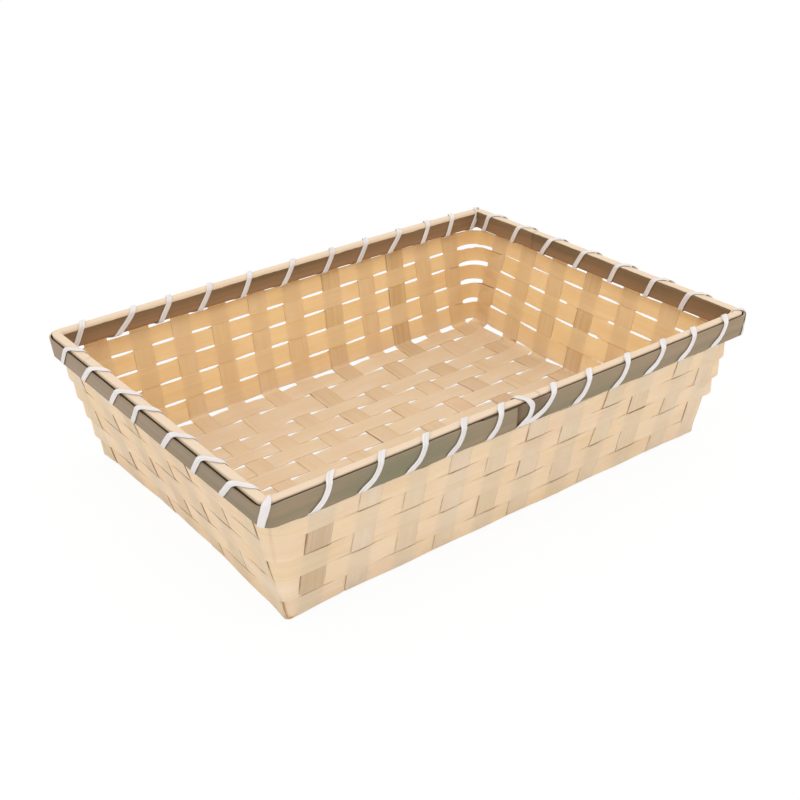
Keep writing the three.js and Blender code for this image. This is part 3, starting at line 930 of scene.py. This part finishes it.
def cross_splint(n):
    home = cross_place(n)
    leans, tones, edges = CROSS_WAYS[n - 1]
    drifts = (-CROSS_FOOT - CLIMB, -CROSS_FOOT, 0, CROSS_FOOT, CROSS_FOOT + CLIMB)
    drift_knots = list(zip(drifts, leans))
    front = wall_run(0, home, BASE_LEVEL + base_rise(home, -CROSS_TURN))
    back = wall_run(2, -home, BASE_LEVEL + base_rise(home, CROSS_TURN))
    near, far = -front[0][0], back[0][0]
    steps = int((far - near) / STEP)
    crossings = []
    for k in range(LONG_COUNT, 0, -1):
        crossings.append((long_place(k), 8, CROSS_SWAY if (k + n) % 2 == 0 else -CROSS_SWAY))
    sway_knots = [(near, 0.0), *hugging(crossings, 0.3), (far, 0.0)]
    width = CROSS_WIDTH + CROSS_EXTRAS.get(n, 0.6)
    splint = Splint(n * 5, tones, edges, CROSS_FOOT - 2)

    def put(y, z, facing, run):
        x = home + through(drift_knots, run) + splint.wander(run)
        splint.add(Vector((x, y, z)), facing, run, width)

    way = Vector((0, 1, 0))
    climb(put, -1, n - 1, reversed(front), way, CROSS_FOOT)
    for i in range(1, steps):
        y = lerp(near, far, i / steps)
        level = BASE_LEVEL + base_rise(home, y) + through(sway_knots, y)
        put(y, level, Vector((0, 0, -1)), y)
    climb(put, 1, 2 * CROSS_COUNT + 7 - n, back, way, CROSS_FOOT)
    splint.make(f"cross_splint_{n:02d}", n)


def long_splint(k):
    """A lengthwise splint: odd ones climb the short walls, even ones fill the base."""
    climbs = k % 2 == 1
    home = long_place(k)
    crossings = []
    for n in range(1, CROSS_COUNT + 1):
        sway = -BASE_SWAY if (k + n) % 2 == 0 else BASE_SWAY
        crossings.append((cross_place(n), CROSS_WIDTH / 2, sway))
    sway_knots = hugging(crossings, 0.7)
    seams = list(zip(LONG_SEAM_PLACES, LONG_SEAMS[k - 1], LONG_SEAMS[k]))
    middle_knots = [(x, (far + near) / 2) for x, far, near in seams]
    width_knots = [(x, far - near - 0.4) for x, far, near in seams]
    stakes = [place + leans[2] for place, _, leans in CROSS]

    def rises(x):
        y, half = through(middle_knots, x), through(width_knots, x) / 2
        return base_rise(x, y - half), base_rise(x, y + half)

    level = BASE_LEVEL + crossings[-1][2]
    left = wall_run(3, -home, level + sum(rises(-LONG_TURN)) / 2)
    right = wall_run(1, home, level + sum(rises(LONG_TURN)) / 2)
    if climbs:
        number = (k + 1) // 2
        name = f"long_splint_{number:02d}"
        leans, tones, edges = LONG_WAYS[number - 1]
        rim = LONG_FOOT + CLIMB
        middle_knots = [(-rim, home + leans[0]), (-LONG_FOOT, home + leans[1]), *middle_knots]
        middle_knots += [(LONG_FOOT + 2, home + leans[3]), (rim, home + leans[4])]
        foot_knots = [(side * (LONG_FOOT + 2), STAKE_WIDTH + 0.4) for side in (-1, 1)]
        width_knots = [foot_knots[0], *width_knots, foot_knots[1]]
        ends = (left[0][0], right[0][0])
    else:
        name = f"base_filler_{k // 2:02d}"
        tones, edges = (-0.5, -0.5, -0.5), (0.0, 0.0, 0.0)
        ends = (wall_out(3, -home, 2) - 2, wall_out(1, home, 2) + FILLER_REACHES[k // 2 - 1])
    steps = int((ends[0] + ends[1]) / STEP)
    base_xs = [lerp(-ends[0], ends[1], i / steps) for i in range(steps + 1)]
    splint = Splint(k * 7 + 300, tones, edges, LONG_FOOT - 3)

    def put(x, z, facing, run):
        y = through(middle_knots, run) + splint.wander(run) * 0.5
        width = through(width_knots, run)
        if WEDGES_FROM < run < WEDGES_TO:
            beside = min(abs(x - stake) for stake in stakes) - CROSS_WIDTH / 2
            width -= WEDGE * smooth(1 - beside / WEDGE_LENGTH)
        splint.add(Vector((x, y, z)), facing, run, width)

    way = Vector((1, 0, 0))
    if climbs:
        climb(put, -1, 2 * CROSS_COUNT + 6 + number, reversed(left), way, LONG_FOOT)
        base_xs = base_xs[1:-1]
    for x in base_xs:
        near, far = rises(x)
        level = BASE_LEVEL + (near + far) / 2 + through(sway_knots, x)
        if name == "base_filler_02":  # Its right end lies up on a round.
            level += 1.7 * smooth((x - ends[1] + 9) / 9)
        put(x, level, Vector((0, (far - near) / through(width_knots, x), -1)), x)
    if climbs:
        climb(put, 1, CROSS_COUNT + 7 - number, right, way, LONG_FOOT)
    splint.make(name, k + 20)


# Wall rounds: the stake behind which each one's ends lap, how far each stands in at the
# front right corner, how brown each is, and how brown where it creases at the front left.
LAP_STAKES = [1, 4, 33, 30, 7]
CORNER_TUCKS = [2.0, 3.6, 0.4, 0.5, 2.0]
ROUND_TONES = [0.1, -0.4, 0.1, 0.1, 0.1]
CREASES = [0.7, 0.0, 0.0, 0.2, 0.3]
LAP = 7
WALL_CORNER = 22
CORNER_REACH = 22


def slit_width(seam, wall, u, way):
    """How wide the slit in a seam is, by the share of the way from one stake to the next."""
    for shut, on, begin, end, share in SHUT:
        if seam == shut and wall == on and begin < u < end:
            return SLITS[wall] * share
    inside = clamp((way - 0.17) / 0.66)
    return SLITS[wall] * (0.12 + 0.88 * math.sqrt(4 * inside * (1 - inside)))


def wall_round(row):
    top_row = ROUNDS - 1
    middle_z = sum(SEAMS[row] + SEAMS[row + 1]) / 20
    ring = Ring(middle_z, WALL_CORNER)
    home = STAKES[LAP_STAKES[row]]
    begin = ring.along(home.wall, home.u_at(middle_z)) - LAP
    finish = begin + ring.length + 2 * LAP
    dice = random.Random(row + 50)
    crossings = []
    shadows = []
    for index, stake in enumerate(STAKES):
        side = round_side(row, index)
        shadow = dice.uniform(0.5, 0.9) if side > 0 and row < top_row else 0.0
        shadow = 1.5 if (row, index) == (2, 8) else shadow
        for lap in (-1, 0, 1, 2):
            s = ring.along(stake.wall, stake.u_at(middle_z)) + lap * ring.length
            crossings.append((s, stake.half, side * ROUND_SWAY))
            shadows.append((s, stake.half, shadow))
    crossings.sort()
    shadows.sort()
    sway_knots = hugging(crossings, 0.62)
    places = [middle for middle, _, _ in crossings]
    low_wander = Wander(row * 21 + 901, 0.1, 90)
    high_wander = Wander(row * 21 + 902, 0.1, 90)
    band_shadow_patches = Wander(row * 21 + 905, 1.0, 26)
    shade = Wander(row * 21 + 903, 0.15, 160)
    stops = [*stops_along(ring, begin, finish, 1.2, 2.0), finish]
    stretch = SEAM_RING.length / ring.length
    fold = ring.length - ring.quarter / 2 + (ring.straights[3] - ring.straights[0]) / 2
    lowers, uppers, stains, edges = [], [], [], []
    for s in stops:
        lift = -(SPLINT_DEPTH + 0.1) * smooth((s - begin - ring.length + 5) / 5)
        offset = through(sway_knots, s) + lift
        corner, share = ring.near_corner(s, CORNER_REACH)
        twist = share * CORNER_PARTING[corner]
        if corner == 0:
            offset -= share * CORNER_TUCKS[row]
        after = bisect.bisect(places, s)
        way = (s - places[after - 1]) / (places[after] - places[after - 1])
        wall, u, _, _ = ring.place(s)
        low_gap = slit_width(row, wall, u, way) / 2 if row else 0
        high_gap = slit_width(row + 1, wall, u, way) / 2 if row < top_row else 0
        low = SEAM_LINES[row](s * stretch) + low_gap + low_wander(s)
        high = SEAM_LINES[row + 1](s * stretch) - high_gap + high_wander(s)
        past_fold = (s - fold + ring.length / 2) % ring.length - ring.length / 2
        if row == 0:
            low -= 1.5 * smooth(1 - (past_fold / 30 if past_fold > 0 else -past_fold / 16))
        lowers.append(ring.point(s, low, offset + twist))
        uppers.append(ring.point(s, high, offset - twist))
        stains.append(CREASES[row] * smooth(1.2 - abs(past_fold + 1) / 1.6))
        near, half, shadow = min(
            shadows[max(after - 1, 0) : after + 1], key=lambda entry: abs(entry[0] - s)
        )
        # Painted shadow: the round's upper edge is painted brown below each stake that shows above
        # it.
        edging = -shadow * smooth((half + 2 - abs(near + 1 - s)) / 3)
        # Painted shadow: on the front and left walls the top round's upper edge is painted brown in
        # patches, under the band.
        if row == top_row and wall in (0, 3):
            edging = -smooth(band_shadow_patches(s) * 2 - 0.2)
        edges.append(edging)
    stations = []
    for i, (lower, upper) in enumerate(zip(lowers, uppers)):
        j, k = max(i - 1, 0), min(i + 1, len(stops) - 1)
        travel = (lowers[k] + uppers[k] - lowers[j] - uppers[j]).normalized()
        facing = travel.cross(upper - lower).normalized()
        tone = ROUND_TONES[row] + shade(stops[i])
        stations.append(between(lower, upper, facing, SPLINT_DEPTH, tone, stains[i], edges[i]))
    sweep(f"wall_round_{row + 1:02d}", stations, SPLINT_MATERIAL, SPLINT_SECTION, row + 40)


# Rim.
RIM_RING = Ring(RIM_TOP)

# For the front, right, back and left: how far the hoop's bare top reaches down its inner
# face, how brown the band is, how far its top is below the hoop's, and where the two stand
# closer together and the band shows its cut edge.
BARE_DEPTHS = [3.5, 0.2, 2.6, 3.5]
BAND_STAINS = [0.0, 0.0, 0.0, 0.17]
BAND_DROPS = [1.4, 1.2, 1.2, 3]
FAR_WALLS = [0, 1, 1, 0]

# Where the hoop's lengths meet: the wall, and the distance from its middle.
HOOP_JOINTS = [(0, 3.2), (1, 69), (3, -87.5), (4, 3.2)]

# How far the rim is lifted, by the distance along it.
RIM_LIFTS = [(0.0, 0.0), (455, 0.2), (560, 1.2), (700, 1.0), (860, 0.2), (1400, 0.0)]


def rim_lift(s):
    return through(RIM_LIFTS, s % RIM_RING.length)


def stops_along(ring, begin, finish, short, long):
    """Places along a ring, with a short step between them in the corners."""
    stops = []
    s = begin
    while s < finish:
        stops.append(s)
        s += long if ring.place(s)[3] is None else short
    return stops


def rim_stops(begin, finish):
    return [*stops_along(RIM_RING, begin, finish - 0.3, 0.8, 3.0), finish]


def upright(s, low, high, inner, outer, *looks):
    """A cut through a band or slat that stands on its edge, between two offsets."""
    lower, upper = [RIM_RING.point(s, z, (inner + outer) / 2) for z in (low, high)]
    rise = (upper - lower).normalized()
    out = RIM_RING.normal(s)
    facing = (out - rise * out.dot(rise)).normalized()
    return between(lower, upper, facing, outer - inner, *looks)


def eased(values, s):
    """A value that each wall has its own of, eased round the corners of the rim."""
    for corner in range(4):
        middle = (RIM_RING.corner_start(corner) + RIM_RING.corner_end(corner)) / 2
        past = (s - middle + RIM_RING.length / 2) % RIM_RING.length - RIM_RING.length / 2
        if abs(past) < 10:
            return lerp(values[corner], values[(corner + 1) % 4], smooth(past / 20 + 0.5))
    return values[RIM_RING.place(s)[0]]


def outer_band():
    splice = -17
    lap = 26
    begin = splice - lap
    finish = RIM_RING.length + splice
    wander = Wander(71, 0.2, 130)
    shade = Wander(72, 0.45, 120)
    stations = []
    for s in rim_stops(begin, finish):
        far = eased(FAR_WALLS, s)
        inner = SPLINT / 2 + CLEARANCE - 0.4 * far
        outer = SPLINT / 2 + CLEARANCE + BAND
        thin_start = clamp((s - (splice + CLEARANCE)) / 6)
        thin_end = clamp((s - (begin + RIM_RING.length - CLEARANCE)) / 6 + 1)
        outside = lerp(inner + 0.45, outer, thin_start)
        inside = lerp(inner, outer - 0.45, thin_end)
        low = RIM_BOTTOM - 0.6 + wander(s) + rim_lift(s)
        high = RIM_TOP - eased(BAND_DROPS, s) + wander(s + 400) * 0.7 + rim_lift(s)
        # The band's own browner stretch from the splice on, and a painted shadow in a narrow strip
        # just past the lapping end's cut edge.
        stain = 0.55 * smooth((12 - s) / 10) + 0.45 * smooth((splice + 2 - s) / 1.5)
        stain = (0.0 if s < splice - 3 else stain) + eased(BAND_STAINS, s)
        tone = 0.1 + shade(s) * 0.5 + 0.35 * math.sin((s - 60) / 110)
        stations.append(upright(s, low, high, inside, outside, tone, stain, far))
    sweep("rim_outer_band", stations, BAND_MATERIAL, BAND_SECTION, 61, 0.15)


def inner_hoop(number, begin, finish):
    wander = Wander(80 + number, 0.2, 130)
    shade = Wander(90 + number, 0.3, 150)
    stations = []
    for s in rim_stops(begin + 0.2, finish - 0.2):
        far = eased(FAR_WALLS, s)
        outer = -(SPLINT / 2 + CLEARANCE) + 0.4 * far
        inner = -(SPLINT / 2 + CLEARANCE) - HOOP
        low = RIM_BOTTOM + 1.2 + wander(s) + rim_lift(s)
        high = RIM_TOP + wander(s + 400) * 0.7 + rim_lift(s)
        bare = eased(BARE_DEPTHS, s)
        # Where the hoop's painted slot shade begins: below the band's top, and deeper on the far
        # walls.
        slot_shade = eased(BAND_DROPS, s) + 3 * far
        stations.append(upright(s, low, high, inner, outer, shade(s), bare, slot_shade))
    name = f"rim_inner_hoop_{number:02d}"
    sweep(name, stations, HOOP_MATERIAL, HOOP_SECTION, 61 + number, 0.1)


# Lash.
LASH_REACH = CLEARANCE + LASH / 2
LASH_OUT = SPLINT / 2 + CLEARANCE + BAND + LASH_REACH
LASH_IN = -(SPLINT / 2 + CLEARANCE) - HOOP - LASH_REACH
LASH_LOW = RIM_BOTTOM - LASH_REACH
LASH_HIGH = RIM_TOP + LASH_REACH

# Where each loop of lash passes the rim's outer lower edge, outer upper edge, inner upper
# edge and inner lower edge, as distances from its wall's middle in the lash's direction.
FRONT_LOOPS = [
    (-167, -156, -149, -142),
    (-135, -120.5, -113.5, -107),
    (-101, -88.5, -81.5, -75),
    (-71, -59.5, -52.5, -45),
    (-40, -30.5, -23.5, -17),
    (-8, 13, 19, 25),
    (31.5, 43.5, 50.5, 58),
    (66.5, 78, 85, 91),
    (96.5, 111.5, 118.5, 124),
    (128.5, 141.5, 148.5, 155),
    (161.5, 173.5, 180.5, 185),
]
RIGHT_LOOPS = [
    (-128, -110, -101, -94),
    (-92, -74, -66, -59),
    (-54, -36, -28, -21),
    (-16, 2, 9, 18),
    (23, 40, 47, 57),
    (60, 77, 86, 94),
    (98, 115, 124, 131),
]
BACK_LOOPS = [
    (-178, -168, -164, -157),
    (-151, -141, -138, -130),
    (-122, -112, -108, -95.5),
    (-88, -78, -74, -64),
    (-56, -45, -41, -31),
    (-22, -8, -3, 8),
    (20, 32, 36, 45),
    (55, 67, 71, 82),
    (91, 102, 105, 115),
    (119, 131, 135, 150),
    (160, 171, 175, 184),
]
LEFT_LOOPS = [
    (-125, -111, -100, -94),
    (-90, -71, -60, -53),
    (-46, -29, -16, -10),
    (-13, 0, 13, 20),
    (28, 45, 57, 63),
    (67, 81, 94, 100),
    (101, 117, 130, 134),
]

# How a loop climbs each wall's outer face: its share of the way along at a third and at two
# thirds of the height.
CLIMBS = [(0.62, 0.88), (0.33, 0.68), (0.6, 0.9), (0.33, 0.68)]


# One loop of lash: its distance along the rim at each of the rim's edges, and how it climbs.
Loop = namedtuple("Loop", "out_low out_high in_high in_low under climb")


class Outline:
    """The rim's cut as a lash lies on it, by the distance walked round it from outside."""

    def __init__(self, deepest):
        corners = [
            (LASH_OUT, LASH_LOW),
            (LASH_OUT, LASH_HIGH),
            (deepest, LASH_HIGH),
            (deepest, LASH_LOW + 1.4),
        ]
        radii = [1.0, 2.8, 2.6, 1.6]
        facings = []
        for i, (offset, z) in enumerate(corners):
            next_offset, next_z = corners[(i + 1) % 4]
            facings.append(math.atan2(offset - next_offset, next_z - z) % (2 * math.pi))
        turns = [(facings[i] - facings[i - 1]) % (2 * math.pi) for i in range(4)]
        cuts = [radius * math.tan(turn / 2) for radius, turn in zip(radii, turns)]
        self.parts = []
        self.marks = []
        self.length = 0.0
        for i, (offset, z) in enumerate(corners):
            j = (i + 1) % 4
            flat = math.dist(corners[i], corners[j]) - cuts[i] - cuts[j]
            way = (-math.sin(facings[i]), math.cos(facings[i]))
            start = (offset + way[0] * cuts[i], z + way[1] * cuts[i])
            self.marks.append(self.length - radii[i] * turns[i] / 2)
            self.parts.append((self.length, flat, radii[j], start, way, facings[i]))
            self.length += flat + radii[j] * turns[j]

    def at(self, walked):
        """The offset, the height and the angle that a lash faces."""
        walked %= self.length
        begin, flat, bend, start, way, facing = [p for p in self.parts if p[0] <= walked][-1]
        step = min(walked - begin, flat)
        offset = start[0] + way[0] * step
        z = start[1] + way[1] * step
        if walked - begin <= flat:
            return offset, z, facing
        angle = facing + (walked - begin - flat) / bend
        offset += bend * (math.cos(angle) - math.cos(facing))
        z += bend * (math.sin(angle) - math.sin(facing))
        return offset, z, angle


def spline(knots, x):
    """A smooth, unbent line through (x, value) knots whose values never turn back."""
    count = len(knots)
    slopes = []
    for i in range(count - 1):
        slopes.append((knots[i + 1][1] - knots[i][1]) / (knots[i + 1][0] - knots[i][0]))
    tangents = [slopes[0]]
    for i in range(1, count - 1):
        before, after = slopes[i - 1], slopes[i]
        same_way = before * after > 0
        tangents.append(2 * before * after / (before + after) if same_way else 0.0)
    tangents.append(slopes[-1])
    i = 0
    while i < count - 2 and x > knots[i + 1][0]:
        i += 1
    span = knots[i + 1][0] - knots[i][0]
    t = (x - knots[i][0]) / span
    return (
        knots[i][1] * (2 * t**3 - 3 * t**2 + 1)
        + tangents[i] * span * (t**3 - 2 * t**2 + t)
        + knots[i + 1][1] * (3 * t**2 - 2 * t**3)
        + tangents[i + 1] * span * (t**3 - t**2)
    )


# A lash's cut: shares of its half width and half thickness.
LASH_CUT = [(-1, 0.4), (-0.88, 1), (-0.44, 1), (0, 1), (0.44, 1), (0.88, 1), (1, 0.4)]
LASH_CUT += [(across, -up) for across, up in reversed(LASH_CUT)]


def lash(name, loops, last_low, seed, deepest=LASH_IN):
    """A flat strip laid on the rim's cut, which turns with it at each edge."""
    outline = Outline(deepest)
    marks = outline.marks
    knots = []
    for i, loop in enumerate(loops):
        start = i * outline.length
        rise = marks[1] - marks[0]
        wide = loop.out_high - loop.out_low
        knots += [
            (start + marks[0], loop.out_low),
            (start + marks[0] + rise * 0.36, loop.out_low + wide * loop.climb[0]),
            (start + marks[0] + rise * 0.7, loop.out_low + wide * loop.climb[1]),
            (start + marks[1], loop.out_high),
            (start + marks[2], loop.in_high),
            (start + marks[3], loop.in_low),
            (start + lerp(marks[3], outline.length, 0.7), loop.under),
        ]
    knots.append((len(loops) * outline.length + marks[0], last_low))
    walked = -4.0
    finish = (len(loops) - 1) * outline.length + marks[3] + 3
    half_width = LASH_WIDTH / 2 - 0.45  # A real lash is narrower and thinner than its solid.
    half_depth = LASH * 0.4
    points, runs, faces = [], [], []
    run = 0.0
    while walked < finish:
        s = spline(knots, walked)
        slope = (spline(knots, walked + 0.1) - spline(knots, walked - 0.1)) / 0.2
        steep = math.sqrt(1 + slope * slope)
        for across, up in LASH_CUT:
            shift = across * half_width / steep
            offset, z, angle = outline.at(walked - shift * slope)
            place = s + shift
            out = RIM_RING.normal(place)
            facing = out * math.cos(angle) + Vector((0, 0, math.sin(angle)))
            point = RIM_RING.point(place, z + rim_lift(place), offset) + facing * half_depth * up
            points.append(point * 0.001)
            runs.append((run * 0.001, across * half_width * 0.001))
        walked += 0.7 / steep
        run += 0.7
    count = len(LASH_CUT)
    rows = len(points) // count
    for row in range(rows - 1):
        for i in range(count):
            j = (i + 1) % count
            first, second = row * count, (row + 1) * count
            faces.append((first + i, first + j, second + j, second + i))
    faces.append(tuple(range(count - 1, -1, -1)))
    faces.append(tuple(range((rows - 1) * count, rows * count)))
    mesh = bpy.data.meshes.new(name + "_detail")
    mesh.from_pydata(points, [], faces)
    mesh.polygons.foreach_set("use_smooth", [True] * len(faces))
    layer = mesh.uv_layers.new(name="UVMap")
    for corner in mesh.loops:
        layer.data[corner.index].uv = runs[corner.vertex_index]
    numbers = mesh.attributes.new("piece", "FLOAT", "POINT")
    numbers.data.foreach_set("value", [float(seed)] * len(points))
    mesh.materials.append(LASH_MATERIAL)
    settle(name, mesh)


def wall_loops(wall, table):
    loops = []
    home = wall * RIM_RING.quarter
    for i, edges in enumerate(table):
        following = table[i + 1][0] if i + 1 < len(table) else RIM_RING.straights[wall % 4] + 2
        edges = (*edges, lerp(edges[3], following, 0.75))
        loops.append(Loop(*(home + edge for edge in edges), CLIMBS[wall % 4]))
    return loops


def corner_loop(wall, following):
    """The loop that goes up in the corner after a wall."""
    start = RIM_RING.corner_start(wall) + 3
    end = RIM_RING.corner_end(wall)
    in_low = lerp(end + 1, following.out_low, 0.5)
    under = lerp(in_low, following.out_low, 0.7)
    return Loop(start, end - 5, end - 2, in_low, under, (0.4, 0.75))


def lashings():
    left = wall_loops(3, LEFT_LOOPS)
    front = wall_loops(4, FRONT_LOOPS)
    right = wall_loops(1, RIGHT_LOOPS)
    back = wall_loops(2, BACK_LOOPS)
    first = [*left, corner_loop(3, front[0]), *front]
    second = [corner_loop(0, right[0]), *right, corner_loop(1, back[0]), *back]
    lash("rim_lashing_01", first, second[0].out_low + RIM_RING.length, 71)
    lash("rim_lashing_02", second, left[0].out_low - 4, 72)


def lash_tie():
    """The loop at the band's splice, which stands out to the right."""
    loop = Loop(-15, -8, -12, -17, -16, (1.14, 1.36))
    lash("lash_tie", [loop], -17, 73, LASH_IN - 1.1)


for n in range(1, CROSS_COUNT + 1):
    cross_splint(n)
for k in range(1, LONG_COUNT + 1):
    long_splint(k)
for row in range(ROUNDS):
    wall_round(row)
outer_band()
for number, (begin, finish) in enumerate(zip(HOOP_JOINTS, HOOP_JOINTS[1:]), 1):
    inner_hoop(number, RIM_RING.along(*begin), RIM_RING.along(*finish))
lashings()
lash_tie()
for holder in SECTIONS:
    bpy.data.objects.remove(holder)


def look():
    """The camera, as the photograph was taken."""
    azimuth, elevation, roll = (math.radians(angle) for angle in (-35.504, 27.741, -2.187))
    turned = Matrix.Rotation(azimuth, 4, "Z") @ Matrix.Rotation(math.pi / 2 - elevation, 4, "X")
    turned = turned @ Matrix.Rotation(roll, 4, "Z")
    aim = Vector((-0.01346, -0.020421, 0.05))
    data = bpy.data.cameras.new("Camera")
    data.sensor_width = 36
    data.lens = 56.42
    camera = new_object("Camera", data)
    camera.matrix_world = Matrix.Translation(aim + turned.col[2].xyz * 0.8866) @ turned
    bpy.context.scene.camera = camera


def stage():
    """A white floor that keeps the basket's shadow, and the light from all round."""
    mesh = bpy.data.meshes.new("floor")
    far = 6
    corners = [(-far, -far, 0), (far, -far, 0), (far, far, 0), (-far, far, 0)]
    mesh.from_pydata(corners, [], [(0, 1, 2, 3)])
    floor = new_object("floor", mesh)
    tree = Shader("White floor")
    seen = tree.add("ShaderNodeLightPath", None, (), "Is Camera Ray")
    plain = tree.add("ShaderNodeBsdfDiffuse", None, {"Color": (0.9, 0.9, 0.9, 1)})
    white = tree.add("ShaderNodeEmission", None, {"Color": (1, 1, 1, 1), "Strength": 1.0})
    both = tree.add("ShaderNodeMixShader", None, (seen * 0.93, plain, white))
    tree.add("ShaderNodeOutputMaterial", None, {"Surface": both})
    mesh.materials.append(tree.material)

    world = bpy.data.worlds.new("Studio")
    world.use_nodes = True
    world.node_tree.nodes.clear()
    tree = Tree(world.node_tree)
    seen = tree.add("ShaderNodeLightPath", None, (), "Is Camera Ray")
    _, _, height = tree.parts(tree.add("ShaderNodeTexCoord", None, (), "Generated"))
    level = 1.42 - tree.ramp(height, 0.0, 1.0) * 0.44
    soft = tree.add("ShaderNodeBackground", None, {"Color": (1, 1, 1, 1), "Strength": level})
    white = tree.add("ShaderNodeBackground", None, {"Color": (1, 1, 1, 1), "Strength": 1.0})
    both = tree.add("ShaderNodeMixShader", None, (seen, soft, white))
    tree.add("ShaderNodeOutputWorld", None, {"Surface": both})
    bpy.context.scene.world = world


def lamp(name, place, aim, size, power):
    data = bpy.data.lights.new(name, "AREA")
    data.shape = "DISK"
    data.size = size
    data.energy = power
    holder = new_object(name, data)
    holder.location = place
    holder.rotation_euler = (Vector(aim) - Vector(place)).to_track_quat("-Z", "Y").to_euler()


look()
stage()
lamp("Overhead lamp", (-0.3, -0.4, 1.7), (0, 0, 0.05), 1.6, 5)

view = bpy.context.scene.view_settings
view.view_transform = "Standard"
